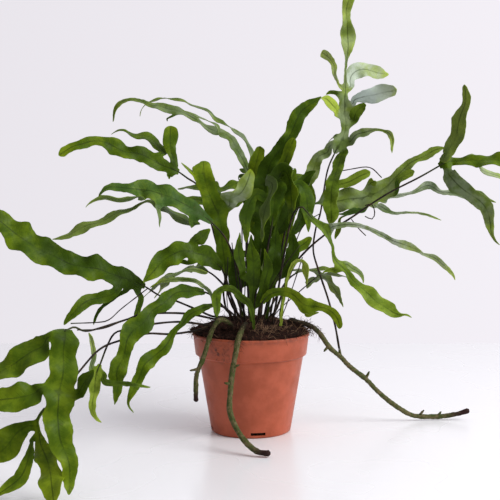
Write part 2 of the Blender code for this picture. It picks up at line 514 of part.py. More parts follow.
# A stalk's points are x, y, z. A blade's and a lobe's points are x, y, z and the width there.
# A lobe starts at a share of the blade's length. The fronds go from the left to the right and the back.
FRONDS = (
    Frond("frond_far_left", (-24, -8),
          ((-39, -15, 120), (-55, -22, 128), (-75, -32, 138), (-90, -40, 144)),
          ((-104, -47, 154, 4.5), (-117, -51, 161, 17), (-135, -54, 167, 20), (-149, -57, 173, 22),
           (-163, -60, 175, 26), (-175, -62, 178, 20), (-186, -64, 184, 24), (-202, -68, 192, 26),
           (-217, -71, 202, 27), (-232, -74, 214, 24), (-244, -77, 225, 16), (-255, -80, 237, 0)),
          (Lobe(0.079, ((-107, -54, 144, 5.9), (-109, -56, 136, 6), (-112, -58, 126, 5.9),
                     (-116, -59, 117, 0))),
           Lobe(0.132, ((-129, -58, 148, 4.3), (-138, -60, 141, 3.7), (-145, -62, 136, 3.2),
                     (-151, -63, 126, 2.8), (-153, -64, 117, 0))),
           Lobe(0.184, ((-135, -63, 148, 10), (-148, -66, 145, 11), (-158, -72, 143, 12),
                     (-166, -77, 137, 10), (-173, -80, 129, 7), (-180, -83, 120, 0)))),
          LEAF_DARK, FACE_VIEWER),
    Frond("frond_front_left", (-26, -22),
          ((-40, -36, 121), (-63, -53, 128), (-88, -70, 131), (-104, -83, 131), (-127, -118, 128),
           (-146, -156, 127), (-155, -173, 133)),
          ((-160, -181, 132, 7), (-161, -187, 133, 15), (-160, -194, 128, 21), (-161, -199, 119, 22),
           (-160, -204, 108, 22), (-160, -212, 96, 23), (-162, -222, 81, 23), (-161, -231, 67, 22),
           (-159, -239, 52, 20), (-154, -245, 42, 17), (-150, -249, 33, 14), (-148, -255, 23, 11),
           (-148, -259, 14, 7), (-149, -262, 8, 0)),
          (Lobe(0.156, ((-178, -197, 121, 22), (-187, -199, 117, 25), (-197, -201, 110, 25),
                     (-208, -203, 103, 20), (-219, -206, 96, 14), (-229, -208, 88, 0))),
           Lobe(0.469, ((-180, -222, 85, 16), (-191, -225, 82, 23), (-204, -227, 81, 21),
                     (-216, -226, 79, 15), (-228, -223, 78, 0))),
           Lobe(0.469, ((-144, -221, 89, 21), (-139, -222, 95, 14), (-135, -222, 100, 8),
                     (-132, -221, 105, 0)))),
          LEAF_MID, FACE_UP),
    Frond("frond_front_low", (-40, -26),
          ((-54, -44, 110), (-78, -60, 109), (-101, -77, 112), (-124, -100, 109), (-140, -130, 105),
           (-157, -168, 87), (-168, -191, 76)),
          ((-176, -205, 68, 3), (-182, -211, 59, 3), (-179, -219, 49, 3.2), (-177, -226, 42, 12),
           (-171, -236, 34, 17), (-166, -247, 26, 19), (-163, -258, 17, 19), (-160, -267, 9, 13),
           (-159, -273, 4, 0)),
          (Lobe(0.2, ((-191, -216, 55, 10), (-199, -218, 49, 19), (-203, -221, 43, 23),
                     (-213, -223, 33, 18), (-221, -225, 25, 0))),
           Lobe(0.3, ((-184, -229, 42, 3.6), (-185, -236, 34, 8), (-188, -243, 23, 11),
                     (-195, -248, 15, 12), (-204, -252, 9, 7), (-210, -254, 5, 0)))),
          LEAF_MID, FACE_UP),
    Frond("frond_inner_left", (-32, -34),
          ((-45, -46, 116), (-70, -60, 121), (-96, -76, 121), (-116, -88, 118), (-128, -95, 116),
           (-134, -105, 107)),
          ((-140, -118, 90, 3.7), (-143, -121, 83, 7), (-144, -124, 75, 11), (-144, -127, 68, 10),
           (-145, -130, 62, 5.4), (-146, -133, 55, 7), (-145, -136, 48, 4.5), (-141, -138, 43, 2.7),
           (-136, -140, 40, 0)),
          (Lobe(0.25, ((-145, -120, 94, 4.6), (-146, -121, 105, 3.7), (-148, -121, 115, 3.7),
                     (-150, -121, 121, 0))),
           Lobe(0.25, ((-137, -129, 77, 6), (-130, -130, 75, 8), (-122, -130, 74, 5.5),
                     (-110, -131, 74, 4.1), (-100, -130, 72, 3.7), (-91, -129, 70, 0)))),
          LEAF_LIGHT, (0.0, -1.0, 0.0)),
    Frond("frond_left_ribbon", (-18, -14),
          ((-26, -17, 128), (-38, -29, 142)),
          ((-46, -42, 148, 5.1), (-54, -50, 150, 11), (-63, -59, 151, 14), (-72, -70, 151, 12),
           (-80, -80, 145, 14), (-88, -89, 140, 14), (-95, -95, 135, 12), (-101, -101, 126, 18),
           (-110, -107, 120, 20), (-116, -111, 111, 14), (-117, -114, 102, 12), (-119, -116, 94, 12),
           (-124, -118, 87, 16), (-125, -119, 79, 16), (-123, -120, 71, 9), (-125, -121, 62, 6),
           (-127, -121, 51, 0)),
          (), LEAF_DARK, FACE_VIEWER),
    Frond("frond_left_wavy", (-10, -31),
          ((-17, -34, 124), (-25, -37, 131)),
          ((-34, -42, 135, 3.9), (-45, -49, 134, 5.4), (-53, -54, 131, 9), (-61, -58, 127, 9),
           (-67, -62, 119, 5), (-74, -66, 114, 5.9), (-78, -70, 106, 7), (-84, -75, 98, 11),
           (-94, -82, 90, 13), (-102, -87, 84, 13), (-105, -90, 75, 10), (-109, -93, 67, 9),
           (-113, -96, 59, 7), (-116, -98, 52, 3.3), (-116, -99, 46, 1.9), (-110, -100, 39, 0)),
          (), LEAF_MID, FACE_VIEWER),
    Frond("frond_upper_left", (-16, 8),
          ((-20, 9, 135), (-34, 14, 186), (-45, 18, 226), (-53, 20, 249), (-66, 20, 259)),
          ((-74, 17, 265, 5.7), (-80, 15, 268, 8), (-91, 16, 272, 13), (-100, 14, 277, 15),
           (-109, 13, 282, 17), (-119, 11, 285, 12), (-130, 9, 286, 17), (-140, 7, 292, 16),
           (-149, 4, 296, 11), (-160, 1, 297, 9), (-170, -3, 294, 10), (-180, -7, 291, 8),
           (-189, -10, 285, 8), (-194, -11, 282, 0)),
          (Lobe(0.107, ((-82, 23, 284, 9), (-83, 22, 296, 16), (-83, 21, 303, 17), (-83, 20, 310, 14),
                     (-83, 20, 313, 0))),
           Lobe(0.229, ((-89, 25, 284, 6), (-96, 27, 292, 13), (-103, 30, 299, 16), (-111, 32, 303, 14),
                     (-120, 34, 303, 10), (-129, 36, 306, 5.9), (-137, 37, 309, 2.2), (-147, 38, 303, 0))),
           Lobe(0.107, ((-84, 13, 262, 5.1), (-84, 12, 257, 0)))),
          LEAF_MID, (0.1, -0.9, 0.5)),
    Frond("frond_tall_left", (-12, -4),
          ((-19, -12, 130), (-25, -19, 150)),
          ((-25, -22, 162, 4), (-26, -22, 172, 11), (-27, -23, 183, 13), (-29, -25, 195, 13),
           (-29, -26, 208, 13), (-32, -28, 222, 17), (-37, -30, 235, 19), (-42, -31, 246, 16),
           (-45, -32, 257, 17), (-46, -33, 267, 17), (-47, -33, 274, 14), (-47, -33, 278, 0)),
          (Lobe(0.625, ((-22, -34, 238, 21), (-13, -38, 243, 18), (-6, -41, 251, 16), (-2, -43, 261, 13),
                     (0, -44, 271, 0))),
           Lobe(0.958, ((-55, -40, 264, 12), (-60, -39, 268, 8), (-65, -39, 272, 3), (-69, -40, 276, 0)))),
          LEAF_MID, FACE_VIEWER),
    Frond("frond_mid_left", (-6, -16),
          ((-9, -24, 137), (-13, -36, 169), (-24, -46, 200)),
          ((-38, -50, 217, 4.5), (-47, -51, 224, 11), (-57, -53, 231, 15), (-69, -55, 238, 17),
           (-79, -57, 243, 18), (-88, -58, 246, 20), (-98, -60, 249, 20), (-107, -58, 250, 18),
           (-116, -65, 251, 12), (-126, -65, 252, 9), (-134, -67, 253, 7), (-141, -69, 251, 4),
           (-145, -70, 245, 2), (-146, -71, 240, 0)),
          (Lobe(0.654, ((-105, -70, 244, 7), (-116, -74, 241, 7), (-127, -78, 241, 8),
                     (-138, -81, 243, 10), (-145, -83, 242, 5.1), (-152, -86, 239, 2.1),
                     (-157, -87, 233, 0))),
           Lobe(0.165, ((-54, -45, 214, 10), (-65, -44, 219, 14), (-78, -44, 226, 15),
                     (-88, -46, 233, 13), (-97, -49, 238, 6), (-106, -52, 237, 3.5),
                     (-114, -55, 231, 2.8), (-121, -57, 229, 6), (-128, -59, 228, 8), (-135, -61, 224, 9),
                     (-145, -63, 218, 8), (-156, -65, 216, 9), (-165, -67, 212, 10), (-173, -69, 207, 9),
                     (-182, -70, 204, 3.9), (-192, -71, 202, 0))),
           Lobe(0.5, ((-90, -66, 234, 4.4), (-88, -66, 226, 3.4), (-88, -66, 212, 0)))),
          LEAF_TEAL, FACE_VIEWER),
    Frond("frond_left_arch", (-21, 2),
          ((-26, -2, 128), (-28, -13, 146), (-26, -25, 160)),
          ((-29, -33, 170, 6), (-34, -37, 176, 14), (-44, -42, 184, 20), (-55, -46, 187, 14),
           (-64, -50, 190, 14), (-74, -55, 188, 20), (-82, -58, 183, 19), (-90, -62, 176, 16),
           (-96, -66, 169, 12), (-101, -69, 164, 4.8), (-104, -71, 160, 0)),
          (Lobe(0.4, ((-52, -44, 200, 13), (-46, -40, 205, 10), (-39, -37, 211, 0))),
           Lobe(0.45, ((-65, -48, 179, 4.6), (-71, -50, 178, 0)))),
          LEAF_MID, FACE_VIEWER),
    Frond("frond_back_left", (-2, 14),
          ((-3, 18, 140), (-4, 26, 174), (-3, 38, 235)),
          ((-2, 46, 260, 5.6), (-6, 48, 272, 6), (-11, 51, 282, 11), (-16, 53, 290, 10),
           (-21, 56, 300, 8), (-31, 59, 306, 10), (-42, 61, 309, 8), (-50, 62, 314, 5.6),
           (-60, 63, 321, 5.6), (-70, 64, 326, 6), (-78, 65, 330, 10), (-88, 66, 331, 10),
           (-99, 66, 335, 11), (-107, 67, 335, 7), (-114, 68, 339, 3.3), (-124, 69, 341, 5.7),
           (-133, 69, 341, 3.6), (-142, 70, 336, 5.7), (-146, 71, 328, 4.2), (-148, 72, 316, 0)),
          (Lobe(0.071, ((1, 56, 274, 5.7), (1, 62, 285, 7), (-3, 70, 294, 6), (-11, 76, 304, 8),
                     (-20, 80, 311, 7), (-29, 83, 315, 5.5), (-38, 86, 322, 9), (-45, 88, 329, 10),
                     (-55, 90, 333, 4.8), (-66, 93, 337, 4.8), (-77, 96, 342, 5.8), (-91, 99, 344, 5.8),
                     (-105, 101, 342, 5), (-115, 101, 338, 3.7), (-120, 102, 332, 3.7),
                     (-122, 102, 323, 0))),
           Lobe(0.31, ((-34, 50, 312, 8), (-43, 48, 317, 4.2), (-56, 47, 323, 4.2), (-66, 46, 327, 3.5),
                     (-73, 45, 330, 0))),
           Lobe(0.595, ((-85, 60, 324, 2.6), (-89, 59, 321, 2.4), (-88, 58, 317, 0)))),
          LEAF_MID, (0.3, -0.5, 0.8)),
    Frond("frond_centre_tall", (3, 2),
          ((5, 4, 140), (6, 5, 155)),
          ((7, 5, 169, 7), (10, 5, 191, 14), (13, 3, 212, 18), (14, 1, 232, 22), (14, 0, 249, 22),
           (17, -1, 266, 19), (23, -3, 280, 15), (32, -4, 291, 12), (39, -5, 302, 13), (44, -5, 313, 14),
           (50, -3, 326, 14), (59, -2, 333, 10), (67, 0, 338, 5.1), (72, 1, 342, 0)),
          (Lobe(0.475, ((26, -9, 259, 9), (30, -12, 268, 10), (35, -14, 279, 11), (39, -15, 289, 12),
                     (42, -15, 297, 7), (43, -15, 301, 0))),
           Lobe(0.225, ((0, 9, 223, 10), (-2, 12, 238, 13), (1, 14, 255, 12), (4, 15, 269, 12),
                     (7, 16, 282, 12), (9, 17, 289, 9), (10, 17, 292, 0))),
           Lobe(0.475, ((-5, -4, 260, 7), (-13, -8, 262, 3), (-11, -10, 254, 0))),
           Lobe(0.225, ((34, 5, 214, 12), (41, 6, 230, 15), (46, 6, 244, 15), (52, 5, 255, 12),
                     (59, 4, 262, 8), (67, 3, 267, 0)))),
          LEAF_DARK, FACE_VIEWER),
    Frond("frond_centre_right", (10, -12),
          ((13, -13, 150), (17, -14, 190)),
          ((21, -15, 212, 4), (24, -18, 238, 14), (27, -22, 258, 18), (32, -29, 268, 18),
           (37, -30, 261, 17), (39, -39, 245, 16), (40, -39, 228, 13), (39, -40, 206, 0)),
          (Lobe(0.28, ((6, -23, 245, 12), (-2, -26, 234, 14), (-5, -27, 216, 13), (-5, -28, 194, 0))),
           Lobe(0.36, ((47, -14, 255, 7), (55, -12, 245, 15), (57, -12, 228, 13), (58, -12, 204, 0))),
           Lobe(0.4, ((22, -40, 254, 12), (17, -42, 238, 11), (12, -43, 220, 13), (11, -43, 196, 0)))),
          LEAF_DARK, FACE_VIEWER),
    Frond("frond_centre_back", (20, 12),
          ((24, 13, 140),),
          ((26, 20, 160, 6), (31, 27, 195, 16), (36, 34, 226, 18), (41, 39, 250, 17), (47, 44, 270, 0)),
          (Lobe(0.26, ((14, 33, 210, 12), (7, 38, 234, 14), (8, 43, 262, 0))),
           Lobe(0.42, ((56, 37, 222, 12), (62, 43, 238, 12), (64, 48, 254, 0)))),
          LEAF_DARK, FACE_VIEWER),
    Frond("frond_right", (18, -16),
          ((25, -16, 126), (34, -17, 150), (44, -19, 173), (58, -23, 190), (77, -26, 206),
           (100, -28, 221), (120, -30, 235), (139, -32, 247), (166, -34, 261)),
          ((185, -35, 272, 5.3), (191, -38, 276, 12), (199, -33, 277, 9), (208, -40, 277, 11),
           (219, -44, 278, 14), (231, -49, 278, 15), (242, -53, 278, 16), (251, -56, 278, 10),
           (257, -58, 277, 0)),
          (Lobe(0.188, ((189, -41, 279, 13), (192, -41, 286, 11), (200, -40, 297, 17),
                     (202, -40, 304, 17), (202, -40, 310, 15), (204, -41, 317, 15), (206, -42, 325, 12),
                     (209, -43, 334, 9), (209, -44, 343, 7), (208, -44, 348, 4.9), (207, -44, 352, 0))),
           Lobe(0.188, ((193, -37, 265, 15), (199, -42, 258, 17), (205, -46, 251, 16),
                     (213, -50, 245, 13), (222, -53, 239, 14), (229, -56, 229, 13), (232, -58, 218, 9),
                     (232, -60, 209, 5.2), (235, -61, 202, 2.5), (242, -61, 195, 0))),
           Lobe(0.562, ((226, -36, 269, 7), (236, -33, 265, 9), (247, -30, 261, 9), (255, -28, 257, 0)))),
          LEAF_MID, (0.0, -0.9, 0.5)),
    Frond("frond_right_broad", (14, 6),
          ((19, 8, 140), (29, 13, 175), (39, 20, 219)),
          ((49, 21, 230, 3), (60, 22, 232, 3), (72, 21, 233, 3), (87, 21, 235, 20), (100, 20, 237, 21),
           (115, 19, 239, 16), (128, 18, 243, 18), (139, 16, 250, 18), (147, 14, 258, 9),
           (155, 12, 267, 11), (162, 11, 274, 9), (170, 10, 278, 6), (178, 9, 282, 9), (185, 7, 287, 9),
           (192, 6, 289, 4.7), (198, 5, 290, 0)),
          (Lobe(0.215, ((91, 20, 252, 8), (99, 19, 254, 9), (107, 18, 258, 10), (114, 17, 262, 10),
                     (120, 17, 264, 9), (123, 17, 266, 0))),
           Lobe(0.5, ((126, 16, 252, 11), (127, 16, 255, 9), (127, 16, 257, 0))),
           Lobe(0.626, ((150, 6, 258, 8), (157, 4, 262, 8), (163, 3, 265, 8), (167, 2, 266, 0))),
           Lobe(0.559, ((142, 24, 239, 4.3), (152, 25, 241, 5.9), (163, 25, 242, 3.2), (171, 25, 245, 7),
                     (180, 25, 251, 10), (188, 25, 250, 9), (195, 25, 245, 6), (206, 25, 244, 5.3),
                     (218, 25, 241, 7), (228, 26, 241, 11), (237, 26, 242, 9), (245, 26, 237, 4.3),
                     (256, 26, 233, 0))),
           Lobe(0.5, ((132, 23, 231, 5.4), (139, 25, 227, 7), (148, 27, 222, 3.2), (163, 29, 223, 2.1),
                     (181, 32, 221, 2.1), (193, 36, 217, 1.9), (201, 38, 213, 0))),
           Lobe(0.441, ((109, 12, 226, 8), (99, 11, 223, 4.9), (87, 9, 222, 0))),
           Lobe(0.374, ((92, 25, 217, 2.2), (92, 25, 209, 5.4), (90, 25, 202, 5.7), (87, 24, 194, 0)))),
          LEAF_TEAL, (0.0, -0.95, 0.3)),
    Frond("frond_right_drooping", (22, -24),
          ((25, -30, 135), (31, -38, 175), (37, -46, 210), (42, -50, 227), (49, -53, 233)),
          ((55, -54, 227, 5), (63, -57, 218, 8), (71, -59, 212, 9), (76, -60, 203, 4.8),
           (79, -61, 194, 3.3), (80, -62, 184, 4.1), (86, -63, 177, 8), (91, -65, 172, 6),
           (98, -68, 163, 8), (105, -72, 157, 11), (113, -76, 150, 15), (121, -80, 143, 16),
           (129, -84, 138, 16), (135, -87, 134, 11), (140, -89, 132, 4.3), (147, -91, 133, 2.4),
           (153, -92, 129, 0)),
          (Lobe(0.219, ((79, -60, 214, 6), (89, -61, 216, 5), (99, -62, 216, 4.2), (109, -63, 214, 3.9),
                     (121, -65, 209, 3.9), (134, -67, 202, 5.1), (145, -69, 198, 7), (153, -70, 195, 7),
                     (160, -71, 192, 4.2), (166, -71, 188, 2.4), (174, -72, 186, 4.8),
                     (181, -73, 181, 5.8), (188, -74, 175, 4.4), (193, -74, 170, 2.7), (196, -75, 162, 0))),
           Lobe(0.469, ((96, -62, 174, 7), (103, -63, 171, 5.2), (108, -64, 166, 3.4), (109, -65, 158, 0))),
           Lobe(0.469, ((82, -64, 173, 5.3), (75, -64, 172, 3.5), (68, -64, 169, 0)))),
          LEAF_LIGHT, (0.2, -0.7, 0.7)),
    Frond("frond_low_right", (6, -31),
          ((8, -34, 122),),
          ((11, -37, 136, 4.2), (17, -40, 144, 8), (24, -43, 148, 8), (33, -46, 149, 9),
           (42, -49, 146, 9), (49, -54, 139, 14), (55, -56, 136, 15), (61, -55, 136, 10),
           (68, -58, 135, 8), (74, -60, 134, 9), (80, -62, 130, 8), (84, -64, 125, 7),
           (86, -65, 118, 5.9), (86, -65, 114, 0)),
          (Lobe(0.7, ((53, -53, 129, 7), (60, -54, 128, 3.4), (68, -55, 130, 0))),),
          LEAF_MID, FACE_VIEWER),
    Frond("frond_behind_low", (-14, 18),
          ((-22, 24, 138), (-34, 32, 152)),
          ((-46, 40, 160, 4), (-62, 52, 163, 13), (-77, 66, 157, 15), (-92, 84, 144, 13),
           (-108, 102, 122, 0)),
          (Side(0.2, 1, 42, 12), Side(0.3, -1, 40, 12), Side(0.5, 1, 36, 11), Side(0.62, -1, 34, 10)),
          LEAF_MID, FACE_UP),
    Frond("frond_behind", (-2, 30),
          ((-2, 42, 138), (0, 58, 160)),
          ((2, 72, 171, 4), (4, 92, 178, 12), (7, 116, 174, 14), (9, 138, 160, 12), (10, 162, 132, 0)),
          (Side(0.1, 1, 44, 13), Side(0.18, -1, 46, 13), Side(0.38, 1, 44, 12), Side(0.46, -1, 42, 12),
           Side(0.68, 1, 32, 10), Side(0.74, -1, 30, 10)),
          LEAF_DARK, (0.0, 0.2, 1.0)),
    Frond("frond_behind_right", (18, 26),
          ((26, 36, 132), (38, 52, 148)),
          ((48, 64, 155, 4), (62, 82, 158, 12), (78, 100, 150, 13), (93, 118, 134, 11), (106, 134, 108, 0)),
          (Side(0.15, 1, 38, 12), Side(0.25, -1, 40, 12), Side(0.5, 1, 34, 11), Side(0.6, -1, 32, 10)),
          LEAF_MID, (0.0, 0.2, 1.0)),
    Frond("frond_behind_left_tall", (-10, 22),
          ((-16, 34, 150), (-25, 48, 194)),
          ((-31, 60, 220, 4), (-38, 78, 240, 12), (-44, 98, 250, 13), (-49, 118, 250, 12),
           (-54, 142, 238, 0)),
          (Side(0.12, 1, 34, 11), Side(0.24, -1, 36, 12), Side(0.45, 1, 36, 12), Side(0.58, -1, 34, 11)),
          LEAF_MID, (0.0, -0.5, 0.9)),
    Frond("frond_behind_tall", (8, 24),
          ((12, 36, 150), (17, 50, 200)),
          ((19, 64, 226, 4), (20, 80, 246, 12), (21, 98, 262, 13), (22, 118, 270, 12), (22, 144, 268, 0)),
          (Side(0.12, 1, 36, 12), Side(0.22, -1, 38, 12), Side(0.45, 1, 38, 12), Side(0.55, -1, 34, 11),
           Side(0.8, 1, 26, 9)),
          LEAF_DARK, (0.0, -0.8, 0.6)),
)

TALLEST = Frond(
    "frond_tallest", PEG_ROOT,
    ((87, 15, 108), (80, 18, 134), (70, 24, 164), (65, 28, 184), (68, 32, 207), (73, 36, 223),
     (80, 44, 264)),
    ((88, 47, 284, 4.2), (94, 49, 295, 12), (99, 51, 306, 7), (100, 53, 317, 10), (99, 55, 328, 11),
     (99, 56, 339, 9), (100, 58, 350, 3.8), (100, 60, 362, 2.4), (100, 60, 373, 2.4), (101, 60, 383, 2.8),
     (102, 61, 389, 6), (103, 61, 397, 13), (102, 61, 405, 16), (102, 62, 413, 13), (102, 62, 421, 9),
     (100, 61, 432, 9), (102, 60, 442, 10), (105, 59, 451, 12), (105, 58, 460, 9), (107, 58, 468, 0)),
    (Lobe(0.075, ((95, 41, 284, 11), (93, 35, 276, 12), (89, 26, 267, 11), (85, 16, 257, 13),
               (82, 8, 247, 14), (82, 3, 237, 14), (81, 0, 227, 14), (82, -2, 219, 12), (80, -3, 211, 0))),
     Lobe(0.075, ((82, 50, 285, 9), (72, 51, 282, 10), (68, 52, 273, 13), (65, 53, 263, 13),
               (58, 54, 253, 12), (51, 55, 243, 10), (45, 56, 235, 0))),
     Lobe(0.125, ((107, 45, 301, 10), (113, 43, 305, 7), (119, 41, 306, 9), (125, 39, 308, 4.2),
               (132, 36, 309, 2.5), (139, 33, 307, 2.7), (144, 31, 305, 5.2), (147, 29, 298, 4.6),
               (146, 28, 291, 3.1), (146, 28, 283, 0))),
     Lobe(0.125, ((90, 60, 302, 3.2), (86, 62, 300, 2.9), (82, 63, 295, 0))),
     Lobe(0.225, ((108, 50, 325, 11), (113, 48, 331, 12), (118, 46, 334, 8), (121, 45, 335, 0))),
     Lobe(0.275, ((91, 50, 329, 10), (85, 46, 335, 11), (79, 42, 341, 8), (72, 39, 342, 0))),
     Lobe(0.375, ((90, 57, 349, 4.4), (84, 56, 349, 4.3), (78, 55, 345, 0))),
     Lobe(0.325, ((108, 52, 340, 7), (114, 49, 342, 10), (121, 46, 344, 14), (129, 43, 345, 17),
               (138, 40, 347, 16), (145, 38, 349, 13), (150, 37, 349, 9), (152, 37, 349, 0))),
     Lobe(0.425, ((92, 64, 360, 2.7), (89, 68, 367, 3.3), (89, 71, 376, 6), (86, 74, 383, 5.1),
               (82, 77, 388, 8), (77, 78, 391, 9), (75, 79, 392, 0))),
     Lobe(0.425, ((105, 62, 358, 8), (106, 66, 365, 12), (111, 69, 371, 16), (120, 72, 374, 16),
               (129, 75, 372, 14), (136, 78, 370, 12), (143, 80, 369, 8), (149, 82, 369, 0)))),
    LEAF_LIGHT, (0.1, -0.95, 0.2))

LEAVES = (
    Frond("leaf_hanging_light", (30, -24), (),
          ((34, -27, 147, 2.4), (39, -36, 170, 3), (45, -42, 179, 5.6), (50, -46, 179, 11),
           (53, -49, 171, 12), (55, -50, 163, 9), (54, -51, 155, 0)),
          (), LEAF_LIGHT, FACE_VIEWER),
    Frond("leaf_oval", (30, 4), (),
          ((34, 3, 143, 2.6), (39, 3, 168, 3.5), (45, 4, 184, 9), (51, 5, 190, 12), (57, 6, 194, 9),
           (63, 7, 200, 0)),
          (), LEAF_MID, FACE_VIEWER),
    Frond("leaf_curled", (3, -44), (),
          ((-1, -45, 135, 5.6), (-10, -47, 144, 7), (-19, -49, 152, 6), (-26, -51, 153, 5.9),
           (-34, -53, 149, 8), (-33, -55, 141, 9), (-33, -56, 132, 7), (-34, -57, 124, 0)),
          (), LEAF_LIGHT, FACE_VIEWER),
    Frond("leaf_thin", (-34, -24), (),
          ((-39, -44, 145, 3), (-48, -50, 156, 3.5), (-57, -55, 161, 4.5), (-70, -61, 163, 5.4),
           (-82, -66, 162, 4.3), (-90, -69, 161, 2.3), (-96, -71, 156, 0)),
          (Lobe(0.955, ((-78, -70, 167, 2.8), (-70, -68, 170, 3.2), (-61, -66, 173, 3.7),
                     (-52, -63, 172, 4.1), (-46, -61, 169, 5.2), (-41, -60, 169, 0))),),
          LEAF_MID, FACE_VIEWER),
    Frond("leaf_dark_short", (-9, 7), (),
          ((-13, 8, 134, 4), (-16, 9, 152, 13), (-19, 10, 168, 12), (-24, 12, 190, 0)),
          (Lobe(0.50, ((0, 8, 158, 10), (3, 9, 176, 11), (-1, 11, 200, 0))),),
          LEAF_DARK, FACE_VIEWER),
    Frond("leaf_centre_front", (0, -24), (),
          ((1, -26, 136, 4), (3, -31, 160, 12), (2, -34, 180, 12), (-1, -36, 203, 0)),
          (Lobe(0.60, ((-8, -44, 170, 8), (-12, -47, 186, 10), (-11, -46, 209, 0))),
           Lobe(0.30, ((14, -33, 158, 9), (17, -34, 172, 9), (13, -35, 192, 0)))),
          LEAF_MID, FACE_VIEWER),
    Frond("leaf_centre_inner", (16, -5), (),
          ((19, -5, 138, 4), (21, -4, 158, 13), (24, -2, 180, 15), (26, -1, 214, 0)),
          (Lobe(0.52, ((39, -3, 172, 11), (43, -2, 188, 12), (42, -1, 210, 0))),
           Lobe(0.44, ((6, -4, 164, 10), (2, -5, 182, 11), (0, -7, 204, 0)))),
          LEAF_DARK, FACE_VIEWER),
)


def peg_ends():
    root = millimetres(*PEG_ROOT)
    aim = millimetres(*PEG_AIM) - root
    return root, root + aim / np.linalg.norm(aim) * PEG_LENGTH


def make_rhizomes():
    for name, foot, knots, spurs in RHIZOMES:
        if name == "rhizome_right":
            root, top = peg_ends()
            spurs = (*spurs, (tuple(root), tuple(top), PEG_RADIUS))
        make_rhizome(name, foot, knots, spurs)


def tallest_start():
    """The tallest stalk stands on the right rhizome's peg, not in the soil."""
    root, top = peg_ends()
    aim = (top - root) / np.linalg.norm(top - root)
    return [top + aim * GAP, top + aim * (GAP + STALK_RISE)]


def main():
    for old in list(bpy.data.objects):
        bpy.data.objects.remove(old)
    draw = random.Random(SEED)
    feet = [(*foot, RHIZOME_RADIUS * (1 + KNOBS)) for _, foot, _, _ in RHIZOMES]
    feet += [(*frond.foot, STALK_FOOT) for frond in (*FRONDS, *LEAVES)]
    make_pot()
    make_soil(feet)
    make_rhizomes()
    for frond in FRONDS:
        make_frond(frond, foot_points(frond.foot), draw)
    make_frond(TALLEST, tallest_start(), draw)
    for leaf in LEAVES:
        make_leaf(leaf, draw)


main()
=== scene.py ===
# %% [markdown]
# # A kangaroo fern in a nursery pot
#
# The real plant is a mass of leathery, wavy blades on wiry dark stalks. It grows from creeping stems that
# spill over the rim of a thin plastic pot. The packed solids already hold every piece at its real size and
# place. Each step below grows a finer piece along the same points, and the new piece stands for its solid.

# %% The frame
import math
import random
from collections import namedtuple

import bmesh
import bpy
import numpy as np
from mathutils import Matrix, Vector, noise


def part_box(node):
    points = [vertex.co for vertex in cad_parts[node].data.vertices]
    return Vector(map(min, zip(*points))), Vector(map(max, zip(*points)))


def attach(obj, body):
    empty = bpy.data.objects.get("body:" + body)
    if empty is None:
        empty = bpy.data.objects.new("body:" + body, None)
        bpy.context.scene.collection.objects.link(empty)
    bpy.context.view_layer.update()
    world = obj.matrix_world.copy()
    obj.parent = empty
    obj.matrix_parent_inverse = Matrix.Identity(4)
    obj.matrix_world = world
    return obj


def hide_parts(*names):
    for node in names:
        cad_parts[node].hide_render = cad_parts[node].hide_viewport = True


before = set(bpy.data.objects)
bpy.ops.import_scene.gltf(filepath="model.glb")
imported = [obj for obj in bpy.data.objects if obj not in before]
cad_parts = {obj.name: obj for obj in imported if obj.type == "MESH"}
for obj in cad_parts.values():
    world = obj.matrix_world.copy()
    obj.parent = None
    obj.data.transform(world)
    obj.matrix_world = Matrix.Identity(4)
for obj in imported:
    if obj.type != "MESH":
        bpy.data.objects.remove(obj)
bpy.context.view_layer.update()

MM = 0.001

# %% [markdown]
# ## Camera
#
# The ellipses of the pot's rim and foot tell how high and how far away the photographer stood: 29 cm high,
# 1.2 m away, looking slightly down. A wide lens close by would show the same pot, but it would swell the
# fronds that reach to the viewer, so a long lens is used.

# %% Camera
CAMERA_SPOT = (-0.001, -1.2, 0.29)
LOOK_DOWN = math.radians(4.95)
LENS = 85.0

camera_data = bpy.data.cameras.new("camera")
camera_data.lens = LENS
camera = bpy.data.objects.new("camera", camera_data)
camera.location = CAMERA_SPOT
camera.rotation_euler = (math.radians(90) - LOOK_DOWN, 0, 0)
bpy.context.scene.collection.objects.link(camera)
bpy.context.scene.camera = camera
print("camera looks down", round(math.degrees(LOOK_DOWN), 1), "degrees")

# %% [markdown]
# ## A small box of tools for finishes
#
# Every surface here is painted with nodes. Each node takes three lines to make and link, so a short class
# does that once: every method adds one node and hands back its output. Patterns read Object coordinates, in
# metres, or an attribute that the mesh carries, so they stay on the surface from any side.

